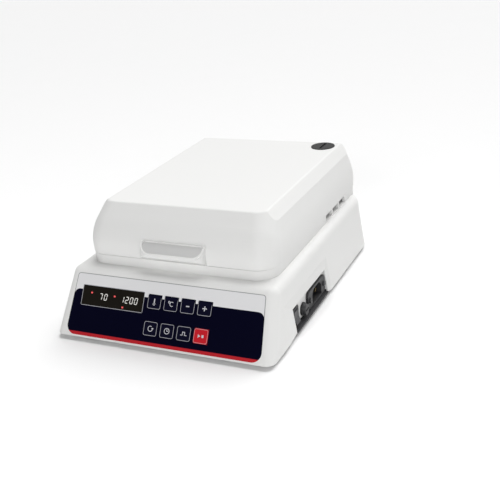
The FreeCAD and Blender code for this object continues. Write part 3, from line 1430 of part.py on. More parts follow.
plug_low_z = "(lid_top_z - plug_seat + running_gap)"
lug_z = "(lid_top_z - lid_wall - running_gap)"
plug_blank = fuse("plug_blank", [
    cylinder("plug_head", "plug_radius", "plug_seat + plug_rise", ("plug_x", "plug_y", plug_low_z)),
    cylinder("plug_stem", "plug_stem_radius", f"{plug_low_z} - {lug_z} + lid_wall",
             ("plug_x", "plug_y", f"{lug_z} - lid_wall / 2")),
    cylinder("plug_lug", "plug_lug_radius", "lid_wall / 2", ("plug_x", "plug_y", f"{lug_z} - lid_wall / 2")),
])
keep("lid_plug", cut("lid_plug", plug_blank, [box(
    "plug_slot",
    ("plug_x - plug_slot_width / 2", "plug_y - plug_radius + lid_wall",
     f"{plug_low_z} + plug_seat + plug_rise - plug_slot_depth"),
    ("plug_x + plug_slot_width / 2", "plug_y + plug_radius - lid_wall",
     f"{plug_low_z} + 2 * plug_seat + plug_rise"))]))

flange_z = "(lid_z + tray_rise)"
tray_outer = plate("tray_outer", "tray_length / 2", "tray_front_y", "tray_rear_y", "tray_front_corner",
                   "tray_rear_corner", flange_z, f"tray_top_z - {flange_z}")
tray_flange = plate("tray_flange", "lid_seam_width / 2 - lid_wall - key_gap",
                    "collar_front_y + lid_wall + key_gap",
                    "hinge_y - knuckle_radius - 2 * knuckle_gap", "lid_corner - lid_wall",
                    "lid_rear_corner - lid_wall",
                    flange_z, "tray_wall")
tray_space = plate("tray_space", "tray_length / 2 - tray_wall", "tray_front_y + tray_wall",
                   "tray_rear_y - tray_wall",
                   "tray_front_corner - tray_wall", "tray_rear_corner - tray_wall", f"{flange_z} - tray_wall",
                   f"tray_top_z - {flange_z}")
tray_holes = [
    cylinder(f"tray_hole_{i}", "screw_radius", "3 * tray_wall", (x, y, "tray_top_z - 2 * tray_wall"))
    for i, (x, y) in enumerate(lid_boss_spots, start=1)
]
keep("lid_liner", cut("lid_liner", fuse("tray_blank", [tray_outer, tray_flange]), [tray_space] + tray_holes))

slab = plate("slab", "tray_length / 2 - 2 * tray_wall", "insulation_front_y", "insulation_rear_y",
             "tray_front_corner", "tray_rear_corner", "tray_top_z", "insulation_thickness")
keep("lid_insulation", cut("lid_insulation", slab, [
    cylinder(f"slab_hole_{i}", "lid_boss_radius", "2 * insulation_thickness", (x, y, "tray_top_z - 1"))
    for i, (x, y) in enumerate(lid_boss_spots, start=1)
]))
gasket_outer = plate("gasket_outer", "tray_length / 2 + gasket_width", "tray_front_y - gasket_width",
                     "tray_rear_y + gasket_width", "tray_front_corner + gasket_width",
                     "tray_rear_corner + gasket_width", f"{flange_z} - gasket_height", "gasket_height")
gasket_space = plate("gasket_space", "tray_length / 2", "tray_front_y", "tray_rear_y", "tray_front_corner",
                     "tray_rear_corner", f"{flange_z} - 2 * gasket_height", "3 * gasket_height")
keep("lid_gasket", cut("lid_gasket", gasket_outer, [gasket_space]))
keep("lid_screws", group("lid_screws", [
    screw(f"lid_screw_{i}", "screw_radius", "screw_head_radius", "screw_head_height",
          "tray_wall + 3 * screw_radius", (x, y, "(tray_top_z - tray_wall)"))
    for i, (x, y) in enumerate(lid_boss_spots, start=1)
]))


# Check every object and write one file for each piece

doc.recompute()
for item in doc.Objects:
    if "Invalid" in item.State or "Error" in item.State:
        raise RuntimeError(f"{item.Name}: {item.State}")
os.makedirs("parts", exist_ok=True)
for name, item in nodes.items():
    if item.Shape.isNull() or not item.Shape.isValid():
        raise RuntimeError(f"{name}: bad shape")
    item.Shape.exportStep(f"parts/{name}.step")
    print(name, len(item.Shape.Solids), round(item.Shape.Volume, 1))
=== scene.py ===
# %% [markdown]
# # A shaking dry block heater for the laboratory bench
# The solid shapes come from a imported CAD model. This lesson gives them their finishes, adds what is
# printed and lit on the control panel, and sets up the light and the camera. All lengths are metres.

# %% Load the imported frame
import json
import math

import bpy
import numpy as np
from mathutils import Matrix, Vector


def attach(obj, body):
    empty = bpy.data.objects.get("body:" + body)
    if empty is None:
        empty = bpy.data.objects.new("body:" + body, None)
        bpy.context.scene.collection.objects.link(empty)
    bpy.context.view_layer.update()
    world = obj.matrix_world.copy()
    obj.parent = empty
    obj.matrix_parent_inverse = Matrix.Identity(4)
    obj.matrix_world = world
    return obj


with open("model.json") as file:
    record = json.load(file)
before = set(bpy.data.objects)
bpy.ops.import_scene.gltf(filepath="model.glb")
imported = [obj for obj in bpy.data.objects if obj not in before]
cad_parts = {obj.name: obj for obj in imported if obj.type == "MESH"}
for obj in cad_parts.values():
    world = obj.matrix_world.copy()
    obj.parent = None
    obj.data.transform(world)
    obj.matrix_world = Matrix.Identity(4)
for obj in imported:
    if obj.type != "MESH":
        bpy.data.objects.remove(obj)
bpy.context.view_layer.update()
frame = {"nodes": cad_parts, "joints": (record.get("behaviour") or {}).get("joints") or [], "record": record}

nodes = frame["nodes"]
scene = bpy.context.scene
scene.view_settings.view_transform = "Standard"
MM = 0.001

# %% [markdown]
# ## Camera
# The viewpoint stands in front of the unit, a little to its right and above it, and the camera is tilted
# by a few degrees, so the far edges rise to the right. A camera is a matrix whose columns are its right,
# up and backward directions, so it is clearest to build those three vectors from the two viewing angles.

# %% Camera
VIEW_AZIMUTH = math.radians(26.33)
VIEW_ELEVATION = math.radians(23.52)
VIEW_ROLL = math.radians(-5.43)
VIEW_PLACE = Vector((0.3632, -0.6739, 0.3687))
FOCAL_PIXELS = 814.5
IMAGE_PIXELS = 500
SENSOR_WIDTH = 36

backward = Vector((
    math.sin(VIEW_AZIMUTH) * math.cos(VIEW_ELEVATION),
    -math.cos(VIEW_AZIMUTH) * math.cos(VIEW_ELEVATION),
    math.sin(VIEW_ELEVATION)))
level_right = Vector((math.cos(VIEW_AZIMUTH), math.sin(VIEW_AZIMUTH), 0))
level_up = backward.cross(level_right)
right = level_right * math.cos(VIEW_ROLL) + level_up * math.sin(VIEW_ROLL)
up = level_up * math.cos(VIEW_ROLL) - level_right * math.sin(VIEW_ROLL)

camera_data = bpy.data.cameras.new("bench_camera")
camera_data.sensor_width = SENSOR_WIDTH
camera_data.lens = SENSOR_WIDTH * FOCAL_PIXELS / IMAGE_PIXELS
camera = bpy.data.objects.new("bench_camera", camera_data)
camera.matrix_world = Matrix((right, up, backward)).transposed().to_4x4()
camera.location = VIEW_PLACE
scene.collection.objects.link(camera)
scene.camera = camera
print("lens", round(camera_data.lens, 2), "mm")

# %% [markdown]
# ## Node helpers
# Every finish below is a small network of shader nodes. Two helpers keep the networks short: one adds a
# node and fills or links its sockets, and one adds a Math node and hands back its result.

# %% Node helpers
def add_node(tree, kind, inputs=None, **settings):
    """Add a node, set its options, and fill each named socket with a value or a link."""
    made = tree.nodes.new(kind)
    for name, value in settings.items():
        setattr(made, name, value)
    for name, value in (inputs or {}).items():
        if isinstance(value, bpy.types.NodeSocket):
            tree.links.new(value, made.inputs[name])
        else:
            made.inputs[name].default_value = value
    return made


def calc(tree, operation, *terms):
    """One Math node: its terms are numbers or sockets."""
    return add_node(tree, "ShaderNodeMath", dict(enumerate(terms)), operation=operation).outputs[0]


MIX_AMOUNT, MIX_FIRST, MIX_SECOND, MIX_RESULT = 0, 6, 7, 2


def blend_colour(tree, amount, first, second):
    """Mix two colours by a mask that is 0 for the first and 1 for the second."""
    made = tree.nodes.new("ShaderNodeMix")
    made.data_type = "RGBA"
    for index, value in ((MIX_AMOUNT, amount), (MIX_FIRST, first), (MIX_SECOND, second)):
        if isinstance(value, bpy.types.NodeSocket):
            tree.links.new(value, made.inputs[index])
        else:
            made.inputs[index].default_value = value
    return made.outputs[MIX_RESULT]


def new_group(name, inputs, outputs):
    """An empty node group with number or vector sockets, and its two end nodes."""
    group = bpy.data.node_groups.new(name, "ShaderNodeTree")
    for socket, kind in inputs.items():
        group.interface.new_socket(socket, in_out="INPUT", socket_type=kind)
    for socket, kind in outputs.items():
        group.interface.new_socket(socket, in_out="OUTPUT", socket_type=kind)
    return group, group.nodes.new("NodeGroupInput"), group.nodes.new("NodeGroupOutput")


def use_group(tree, group, **inputs):
    """Place a group in a material, with its own values."""
    made = tree.nodes.new("ShaderNodeGroup")
    made.node_tree = group
    for name, value in inputs.items():
        socket = made.inputs[name.replace("_", " ")]
        if isinstance(value, bpy.types.NodeSocket):
            tree.links.new(value, socket)
        else:
            socket.default_value = value
    return made


NUMBER = "NodeSocketFloat"
VECTOR = "NodeSocketVector"
print("helpers ready")

# %% [markdown]
# ## Shared surface effects
# Moulded plastic isn't perfectly even: the mould's spark-eroded skin leaves a fine grain, and handling
# leaves broad, faint changes of gloss. Both are noise at two scales, so one group serves every plastic.
# Machined and rolled metal has fine parallel lines instead, which is noise stretched along one direction.

# %% Grain and brushing groups
grain_group, grain_in, grain_out = new_group(
    "moulded_grain",
    {"Place": VECTOR, "Grain Size": NUMBER, "Gloss": NUMBER, "Gloss Spread": NUMBER},
    {"Height": NUMBER, "Roughness": NUMBER, "Mottle": NUMBER})
fine = add_node(grain_group, "ShaderNodeTexNoise", {
    "Vector": grain_in.outputs["Place"],
    "Scale": calc(grain_group, "DIVIDE", 1.0, grain_in.outputs["Grain Size"]),
    "Detail": 2.0, "Roughness": 0.6})
broad = add_node(grain_group, "ShaderNodeTexNoise", {
    "Vector": grain_in.outputs["Place"], "Scale": 14.0, "Detail": 3.0, "Roughness": 0.55})
centred = calc(grain_group, "SUBTRACT", broad.outputs[0], 0.5)
spread = calc(grain_group, "MULTIPLY", centred, grain_in.outputs["Gloss Spread"])
grain_group.links.new(fine.outputs[0], grain_out.inputs["Height"])
rough = calc(grain_group, "ADD", spread, grain_in.outputs["Gloss"])
grain_group.links.new(rough, grain_out.inputs["Roughness"])
grain_group.links.new(broad.outputs[0], grain_out.inputs["Mottle"])

brushed_group, brushed_in, brushed_out = new_group(
    "brushed_lines",
    {"Place": VECTOR, "Stretch": VECTOR, "Gloss": NUMBER, "Gloss Spread": NUMBER},
    {"Height": NUMBER, "Roughness": NUMBER, "Streak": NUMBER})
stretched = add_node(brushed_group, "ShaderNodeVectorMath", {
    0: brushed_in.outputs["Place"], 1: brushed_in.outputs["Stretch"]}, operation="MULTIPLY")
lines = add_node(brushed_group, "ShaderNodeTexNoise", {
    "Vector": stretched.outputs[0], "Scale": 1.0, "Detail": 4.0, "Roughness": 0.65})
line_spread = calc(brushed_group, "MULTIPLY", calc(brushed_group, "SUBTRACT", lines.outputs[0], 0.5),
                   brushed_in.outputs["Gloss Spread"])
brushed_group.links.new(lines.outputs[0], brushed_out.inputs["Height"])
brushed_group.links.new(calc(brushed_group, "ADD", line_spread, brushed_in.outputs["Gloss"]),
                        brushed_out.inputs["Roughness"])
brushed_group.links.new(lines.outputs[0], brushed_out.inputs["Streak"])
print("groups", grain_group.name, brushed_group.name)


# %% [markdown]
# ## Finishes for plastic, rubber and metal
# A finish is one Principled shader whose colour, gloss and fine relief come from the groups. The colour
# moves a few percent with the broad noise, as real mouldings do. Numbers that hold for the whole surface,
# such as the share of mirror-like reflection, sit on the shader's own sockets.

# %% Finish makers
def start_material(name):
    """A material with an empty network, its shader and its Object coordinates."""
    material = bpy.data.materials.new(name)
    material.use_nodes = True
    tree = material.node_tree
    tree.nodes.clear()
    output = tree.nodes.new("ShaderNodeOutputMaterial")
    shader = tree.nodes.new("ShaderNodeBsdfPrincipled")
    tree.links.new(shader.outputs[0], output.inputs["Surface"])
    place = tree.nodes.new("ShaderNodeTexCoord").outputs["Object"]
    return material, tree, shader, place


def shade(colour, factor):
    """A colour made lighter or darker, with full opacity."""
    return [min(1.0, part * factor) for part in colour[:3]] + [1.0]


def relief(tree, shader, height, depth):
    """Fine relief of a given depth in metres, from a height that runs from 0 to 1."""
    bump = add_node(tree, "ShaderNodeBump", {"Height": height, "Distance": depth, "Strength": 1.0})
    tree.links.new(bump.outputs[0], shader.inputs["Normal"])


def moulded(name, colour, gloss, spread=0.08, grain=0.4 * MM, depth=0.006 * MM, mottle=0.04, specular=0.4):
    """Moulded plastic or rubber: an even colour with a fine grain and slight changes of gloss."""
    material, tree, shader, place = start_material(name)
    grains = use_group(tree, grain_group, Place=place, Grain_Size=grain, Gloss=gloss, Gloss_Spread=spread)
    tone = blend_colour(tree, grains.outputs["Mottle"], shade(colour, 1 - mottle), shade(colour, 1 + mottle))
    tree.links.new(tone, shader.inputs["Base Color"])
    tree.links.new(grains.outputs["Roughness"], shader.inputs["Roughness"])
    shader.inputs["Specular IOR Level"].default_value = specular
    relief(tree, shader, grains.outputs["Height"], depth)
    return material


def machined(name, colour, gloss, stretch, spread=0.12, depth=0.004 * MM, streak=0.06):
    """Bare metal with fine lines along the direction in which the stretch is smallest."""
    material, tree, shader, place = start_material(name)
    brushed = use_group(tree, brushed_group, Place=place, Stretch=stretch, Gloss=gloss, Gloss_Spread=spread)
    tone = blend_colour(tree, brushed.outputs["Streak"], shade(colour, 1 - streak), shade(colour, 1 + streak))
    tree.links.new(tone, shader.inputs["Base Color"])
    tree.links.new(brushed.outputs["Roughness"], shader.inputs["Roughness"])
    shader.inputs["Metallic"].default_value = 1.0
    relief(tree, shader, brushed.outputs["Height"], depth)
    return material


LINES_ALONG_X = (60.0, 2600.0, 2600.0)
LINES_ALONG_Y = (2600.0, 60.0, 2600.0)
LINES_ROUND_Z = (900.0, 900.0, 5200.0)

finishes = {
    "housing_white": moulded("housing_white", (0.80, 0.80, 0.79), 0.55, depth=0.004 * MM, mottle=0.008,
                             specular=0.25),
    "plug_grey": moulded("plug_grey", (0.013, 0.013, 0.0135), 0.5, specular=0.08),
    "base_dark": moulded("base_dark", (0.016, 0.016, 0.018), 0.62, grain=0.9 * MM, depth=0.02 * MM,
                         mottle=0.15),
    "feet_rubber": moulded("feet_rubber", (0.018, 0.018, 0.019), 0.78, grain=0.7 * MM, mottle=0.15,
                           specular=0.25),
    "gasket_rubber": moulded("gasket_rubber", (0.045, 0.045, 0.047), 0.75, mottle=0.12, specular=0.25),
    "insulation_foam": moulded("insulation_foam", (0.62, 0.57, 0.44), 0.95, grain=1.6 * MM, depth=0.3 * MM,
                               mottle=0.12, specular=0.1),
    "module_black": moulded("module_black", (0.02, 0.02, 0.022), 0.55, mottle=0.1),
    "inlet_black": moulded("inlet_black", (0.022, 0.022, 0.024), 0.48, mottle=0.1),
    "rocker_black": moulded("rocker_black", (0.03, 0.03, 0.033), 0.38, mottle=0.1),
    "board_green": moulded("board_green", (0.02, 0.12, 0.05), 0.32, grain=1.2 * MM, mottle=0.25),
    "transformer_yellow": moulded("transformer_yellow", (0.48, 0.33, 0.05), 0.5, mottle=0.12),
    "capacitor_sleeve": moulded("capacitor_sleeve", (0.02, 0.03, 0.09), 0.35, mottle=0.1),
    "heater_orange": moulded("heater_orange", (0.42, 0.12, 0.035), 0.7, grain=1.1 * MM, depth=0.05 * MM,
                             mottle=0.1),
    "motor_grey": moulded("motor_grey", (0.12, 0.125, 0.135), 0.45, mottle=0.1),
    "weight_iron": moulded("weight_iron", (0.09, 0.09, 0.095), 0.68, grain=0.8 * MM, depth=0.06 * MM,
                           mottle=0.2),
    "link_glass": moulded("link_glass", (0.62, 0.67, 0.68), 0.12, mottle=0.03),
    "liner_steel": machined("liner_steel", (0.60, 0.60, 0.61), 0.34, LINES_ALONG_X),
    "drive_aluminium": machined("drive_aluminium", (0.68, 0.68, 0.69), 0.4, LINES_ALONG_Y),
    "block_aluminium": machined("block_aluminium", (0.66, 0.66, 0.67), 0.45, LINES_ALONG_X, spread=0.16),
    "shaft_steel": machined("shaft_steel", (0.55, 0.55, 0.56), 0.28, LINES_ROUND_Z),
    "screw_steel": machined("screw_steel", (0.62, 0.62, 0.63), 0.3, LINES_ROUND_Z),
    "pin_brass": machined("pin_brass", (0.68, 0.52, 0.25), 0.28, LINES_ALONG_Y),
}
print("finishes", len(finishes))

# %% [markdown]
# ## Control panel frame
# The sloped front carries all that is printed or lit, so its plane comes first. The keys are pressed straight
# into the panel, so the axis of a key's joint gives the slope, and the housing's lower front edge gives the
# origin. A print has to line up with the solids, so the places of the keys, the film and the display window
# are measured from them, to a hundredth of a millimetre, instead of being written again.

# %% Panel frame
FACE_DEPTH = 0.02


def solid_points(name):
    """The points of a solid in metres, one row each."""
    mesh = nodes[name].data
    points = np.empty(3 * len(mesh.vertices))
    mesh.vertices.foreach_get("co", points)
    return points.reshape(-1, 3)


def face_box(name):
    """Lowest and highest place of a solid's outer face along, up and above the panel, in millimetres.

    The points are turned by the inverse of the panel's placement, and those beside the highest are kept.
    """
    turn = np.array(panel_to_world.inverted())
    points = (solid_points(name) @ turn[:3, :3].T + turn[:3, 3]) / MM
    face = points[points[:, 2] > points[:, 2].max() - FACE_DEPTH]
    return face.min(axis=0).round(2), face.max(axis=0).round(2)


press = next(joint["axis"] for joint in frame["joints"] if joint["name"] == "key_minus_press")
front_edge = solid_points("base_housing").min(axis=0).round(5)
PANEL_ANGLE = math.atan2(press[1], -press[2])
PANEL_ORIGIN = Vector((0, front_edge[1], front_edge[2]))
panel_to_world = Matrix.Translation(PANEL_ORIGIN) @ Matrix.Rotation(PANEL_ANGLE, 4, "X")

key_faces = {name: face_box(name) for name in nodes if name.startswith("key_")}
key_middle = {name: (low + high) / 2 for name, (low, high) in key_faces.items()}
film_low, film_high = face_box("panel_overlay")
lens_low, lens_high = face_box("display_window")
print("panel slope", round(math.degrees(PANEL_ANGLE), 2), "origin", list(PANEL_ORIGIN))

# %% [markdown]
# ## Control panel print
# The sloped front carries a printed film: a pale strip along the top, a dark blue field with round upper
# corners, a red stripe along the lower edge, and thin grey lines round the display. A darker grey band along
# the film's own edge is painted shade of the groove there. A print has crisp edges at any distance, so it is
# drawn by arithmetic in the panel's own plane instead of with thin solids. The Mapping node turns Object
# coordinates into millimetres along and up the panel, and one group gives the distance to a rounded
# rectangle, from which every edge and frame follows.

# %% Rounded rectangle group
distance_group, rect_in, rect_out = new_group(
    "rounded_rectangle_distance",
    {"Along": NUMBER, "Up": NUMBER, "Half Along": NUMBER, "Half Up": NUMBER, "Corner": NUMBER},
    {"Distance": NUMBER})
overhang = []
for axis, half in (("Along", "Half Along"), ("Up", "Half Up")):
    straight = calc(distance_group, "SUBTRACT", rect_in.outputs[half], rect_in.outputs["Corner"])
    reach = calc(distance_group, "ABSOLUTE", rect_in.outputs[axis])
    overhang.append(calc(distance_group, "SUBTRACT", reach, straight))
beyond = [calc(distance_group, "MAXIMUM", value, 0.0) for value in overhang]
squares = [calc(distance_group, "MULTIPLY", value, value) for value in beyond]
outside = calc(distance_group, "SQRT", calc(distance_group, "ADD", *squares))
inside = calc(distance_group, "MINIMUM", calc(distance_group, "MAXIMUM", *overhang), 0.0)
sharp_edge = calc(distance_group, "ADD", outside, inside)
edge = calc(distance_group, "SUBTRACT", sharp_edge, rect_in.outputs["Corner"])
distance_group.links.new(edge, rect_out.inputs["Distance"])
print("group", distance_group.name)


# %% [markdown]
# ## Places and masks in a sloped plane
# A print is placed in its own plane, so these helpers turn Object coordinates into millimetres along and up
# that plane, and turn a distance into a mask with a soft edge. The softness hides the steps of the pixels.

# %% Panel print helpers
MM_PER_METRE = 1000


def sloped_place(tree, place, origin, angle):
    """Millimetres along, up and above a sloped plane, from Object coordinates."""
    turn = Matrix.Rotation(-angle, 3, "X")
    mapping = add_node(tree, "ShaderNodeMapping", {
        "Vector": place, "Location": turn @ origin * -MM_PER_METRE, "Rotation": (-angle, 0, 0),
        "Scale": (MM_PER_METRE, MM_PER_METRE, MM_PER_METRE)})
    parts = add_node(tree, "ShaderNodeSeparateXYZ", {"Vector": mapping.outputs[0]})
    return parts.outputs["X"], parts.outputs["Y"], parts.outputs["Z"]


def panel_place(tree, place):
    """Millimetres along and up the panel."""
    return sloped_place(tree, place, PANEL_ORIGIN, PANEL_ANGLE)[:2]


def rectangle(tree, along, across, centre, half, corner):
    """Distance in millimetres to a rounded rectangle, negative inside it."""
    made = use_group(tree, distance_group,
                     Along=calc(tree, "SUBTRACT", along, centre[0]),
                     Up=calc(tree, "SUBTRACT", across, centre[1]),
                     Half_Along=half[0], Half_Up=half[1], Corner=corner)
    return made.outputs[0]


def below(tree, value, level, soft=0.06):
    """A mask that is 1 where a value is below a level, with a soft edge."""
    made = add_node(tree, "ShaderNodeMapRange", {
        "Value": value, "From Min": level - soft, "From Max": level + soft, "To Min": 1.0, "To Max": 0.0})
    return made.outputs[0]


def band(tree, value, low, high):
    """A mask that is 1 where a value lies between two levels."""
    return calc(tree, "SUBTRACT", below(tree, value, high), below(tree, value, low))


PALE = (0.78, 0.78, 0.79, 1)
NAVY = (0.0008, 0.0008, 0.0085, 1)
RED = (0.50, 0.022, 0.03, 1)
FRAME_GREY = (0.42, 0.42, 0.45, 1)
GROOVE_SHADE_GREY = (0.27, 0.27, 0.28, 1)
print("print colours ready")

# %% [markdown]
# ## The film itself
# The film narrows towards its top, so the field is drawn as a rectangle on a place that is stretched to full
# width first. The colours then lie over each other as the printer lays them: pale ground, dark field, stripe.

# %% Panel film
OVERLAY_LOW, OVERLAY_LENGTH = film_low[1], film_high[1] - film_low[1]
OVERLAY_HALF_LOW, OVERLAY_HALF_HIGH = 100.7, 96.9
OVERLAY_CORNER, GROOVE_WIDTH = 3.0, 0.55
FIELD_TOP, FIELD_HALF, FIELD_CORNER = 45.0, 40, 6.0
STRIPE_TOP = 4.9
DISPLAY_CENTRE, DISPLAY_HALF = (lens_low + lens_high) / 2, (lens_high - lens_low) / 2
DISPLAY_CORNER = 0.8
FRAME_HALF_WIDTH = 0.5

film, tree, shader, place = start_material("panel_film")
along, across = panel_place(tree, place)
rise = calc(tree, "DIVIDE", calc(tree, "SUBTRACT", across, OVERLAY_LOW), OVERLAY_LENGTH)
taper = calc(tree, "SUBTRACT", OVERLAY_HALF_LOW,
             calc(tree, "MULTIPLY", rise, OVERLAY_HALF_LOW - OVERLAY_HALF_HIGH))
squared = calc(tree, "MULTIPLY", calc(tree, "DIVIDE", along, taper), OVERLAY_HALF_LOW)
field = below(tree, rectangle(tree, squared, across, (0, FIELD_TOP - FIELD_HALF),
                              (OVERLAY_HALF_LOW, FIELD_HALF), FIELD_CORNER), 0)
stripe = below(tree, across, STRIPE_TOP)
frames = band(tree, rectangle(tree, along, across, DISPLAY_CENTRE, DISPLAY_HALF, DISPLAY_CORNER),
              -FRAME_HALF_WIDTH, FRAME_HALF_WIDTH)
outline = rectangle(tree, squared, across, (0, OVERLAY_LOW + OVERLAY_LENGTH / 2),
                    (OVERLAY_HALF_LOW, OVERLAY_LENGTH / 2), OVERLAY_CORNER)
# The grey band along the film's edge is painted shade of the groove there.
film_edge_shade = calc(tree, "SUBTRACT", 1.0, below(tree, outline, -GROOVE_WIDTH))
colour = blend_colour(tree, film_edge_shade, PALE, GROOVE_SHADE_GREY)
colour = blend_colour(tree, field, colour, NAVY)
colour = blend_colour(tree, calc(tree, "MULTIPLY", stripe, field), colour, RED)
colour = blend_colour(tree, frames, colour, FRAME_GREY)
tree.links.new(colour, shader.inputs["Base Color"])
grains = use_group(tree, grain_group, Place=place, Grain_Size=0.25 * MM, Gloss=0.42, Gloss_Spread=0.06)
tree.links.new(grains.outputs["Roughness"], shader.inputs["Roughness"])
shader.inputs["Specular IOR Level"].default_value = 0.02
relief(tree, shader, grains.outputs["Height"], depth=0.002 * MM)
finishes["overlay_navy"] = film
print("film printed")


# %% [markdown]
# ## Keys and display lens
# The keys are moulded caps in the colour of the field, one of them red, each with a thin pale line just
# inside its rim. The display lens is smoked plastic over black, so it is nearly black but glossy.

# %% Keys and lens
KEY_FIRST = key_middle["key_temperature"][0]
KEY_PITCH = key_middle["key_unit"][0] - KEY_FIRST
KEY_ROWS = key_middle["key_temperature"][1], key_middle["key_speed"][1]
KEY_HALF, KEY_CORNER = (7.0, 6.5), 2.0
RIM_OUTER, RIM_INNER = -0.2, -0.62
RIM_FADE = 1.5


def key_finish(name, colour, rim_colour):
    """A printed key: its colour, and a pale line inside the rim of every key in the two rows."""
    material, tree, shader, place = start_material(name)
    along, across = panel_place(tree, place)
    column = calc(tree, "SUBTRACT", calc(tree, "FLOORED_MODULO", calc(
        tree, "SUBTRACT", along, KEY_FIRST - KEY_PITCH / 2), KEY_PITCH), KEY_PITCH / 2)
    rim = None
    for row in KEY_ROWS:
        edge = rectangle(tree, column, across, (0, row), KEY_HALF, KEY_CORNER)
        ring = band(tree, edge, RIM_INNER, RIM_OUTER)
        rim = ring if rim is None else calc(tree, "MAXIMUM", rim, ring)
    rim = calc(tree, "MULTIPLY", rim, below(tree, across, FIELD_TOP, RIM_FADE))
    tree.links.new(blend_colour(tree, rim, colour, rim_colour), shader.inputs["Base Color"])
    grains = use_group(tree, grain_group, Place=place, Grain_Size=0.3 * MM, Gloss=0.45, Gloss_Spread=0.08)
    tree.links.new(grains.outputs["Roughness"], shader.inputs["Roughness"])
    shader.inputs["Specular IOR Level"].default_value = 0.04
    relief(tree, shader, grains.outputs["Height"], depth=0.003 * MM)
    return material


finishes["key_navy"] = key_finish("key_navy", (0.0012, 0.0012, 0.0105, 1), FRAME_GREY)
finishes["key_red"] = key_finish("key_red", (0.56, 0.016, 0.026, 1), (0.75, 0.32, 0.33, 1))
finishes["display_glass"] = moulded("display_glass", (0.0095, 0.008, 0.006), 0.3, grain=0.5 * MM,
                                    depth=0.001 * MM, mottle=0.1, specular=0.03)
print("keys", sorted(key_faces))

# %% [markdown]
# ## Finger dish of the lid's grip, with painted shade
# The grip on the lid's front is a wedge whose sloped top holds a shallow dish. The dish is painted a darker
# grey than the lid around it, as painted shade for the shade that falls into it. The mask is the rounded
# rectangle again, in the plane of the slope and cut off above and below it. It is worked out from Object
# coordinates, so it moves with the lid when the lid opens.

# %% Lid finish with painted shade in the dish
GRIP_DROP, GRIP_REACH, GRIP_FOOT = 9.5, 9.0, 76.9
grip_front = solid_points("lid_shell")[:, 1].min().round(5)
GRIP_ANGLE = math.atan2(GRIP_DROP, GRIP_REACH)
GRIP_ORIGIN = Vector((0, grip_front, GRIP_FOOT * MM))
DISH_HALF, DISH_LOW, DISH_CORNER = 32.0, 1.0, 10.0
DISH_REACH, DISH_TOP = 15.0, 13.0
DISH_FLOOR, DISH_FACE, DISH_SOFT = -1.6, 0.3, 0.3
LID_TONES = (0.794, 0.794, 0.784, 1), (0.806, 0.806, 0.796, 1)
# The darker dish tones are painted shade, not a different plastic.
DISH_SHADE_TONES = (0.58, 0.58, 0.575, 1), (0.64, 0.64, 0.635, 1)
lid_white, tree, shader, place = start_material("lid_white")
along, across, above = sloped_place(tree, place, GRIP_ORIGIN, GRIP_ANGLE)
dish_edge = rectangle(tree, along, across, (0, DISH_LOW + DISH_REACH), (DISH_HALF, DISH_REACH), DISH_CORNER)
dish_shade_mask = below(tree, dish_edge, 0, DISH_SOFT)
dish_shade_mask = calc(tree, "MULTIPLY", dish_shade_mask, band(tree, above, DISH_FLOOR, DISH_FACE))
dish_shade_mask = calc(tree, "MULTIPLY", dish_shade_mask, below(tree, across, DISH_TOP, DISH_SOFT))
smooth = use_group(tree, grain_group, Place=place, Grain_Size=0.4 * MM, Gloss=0.55, Gloss_Spread=0.08)
tone = blend_colour(tree, smooth.outputs["Mottle"], *LID_TONES)
painted_dish_shade = blend_colour(tree, smooth.outputs["Mottle"], *DISH_SHADE_TONES)
# Painted shade: inside the dish mask the lid takes the darker tones.
tree.links.new(blend_colour(tree, dish_shade_mask, tone, painted_dish_shade), shader.inputs["Base Color"])
tree.links.new(smooth.outputs["Roughness"], shader.inputs["Roughness"])
shader.inputs["Specular IOR Level"].default_value = 0.25
relief(tree, shader, smooth.outputs["Height"], depth=0.004 * MM)
print("lid finish", lid_white.name)

# %% [markdown]
# ## Dressing the solids
# Each solid names the slot of its material in the record, so one loop gives every solid its finish. The
# screws of the inlet are blacked steel, unlike the others, and the lid has the finish with the painted shade
# in its dish.

# %% Put the finishes on the CAD nodes
slot_of = {part["node"]: part["material_slot"] for part in frame["record"]["subparts"]}
for name, item in nodes.items():
    item.data.materials.clear()
    item.data.materials.append(finishes[slot_of[name]])
screw_blacked = moulded("screw_blacked", (0.026, 0.026, 0.028), 0.4, mottle=0.12)
nodes["inlet_screws"].data.materials[0] = screw_blacked
nodes["lid_shell"].data.materials[0] = lid_white
print("dressed", len(slot_of))

# %% [markdown]
# ## Numbers and signs
# The display shows a two-digit and a four-digit number in seven-segment figures with a few red lamps, and
# the keys carry simple signs. All of them are flat strokes: a path in the panel's plane and a width at each
# point of the path. The stroke's two edges are the path plus and minus half its width along the path's
# normal, which is one array sum, and a Solidify modifier gives the print its thickness.

# %% Strokes
def stroke(path, width):
    """Grid of two rows of points: the path plus and minus half its width along its normal."""
    path = np.asarray(path, float)
    width = np.broadcast_to(np.asarray(width, float), len(path))
    slope = np.gradient(path, axis=0)
    normal = np.stack([-slope[:, 1], slope[:, 0]], axis=1)
    normal /= np.linalg.norm(normal, axis=1, keepdims=True)
    offset = normal * width[:, None] / 2
    return np.stack([path + offset, path - offset])


def arc(centre, radius, start, end, steps=25):
    """Points round a circle between two angles in degrees."""
    angle = np.radians(np.linspace(start, end, steps))
    return np.stack([centre[0] + radius * np.cos(angle), centre[1] + radius * np.sin(angle)], axis=1)


def line(start, end, steps=2):
    """Points along a straight line."""
    return np.linspace(start, end, steps)


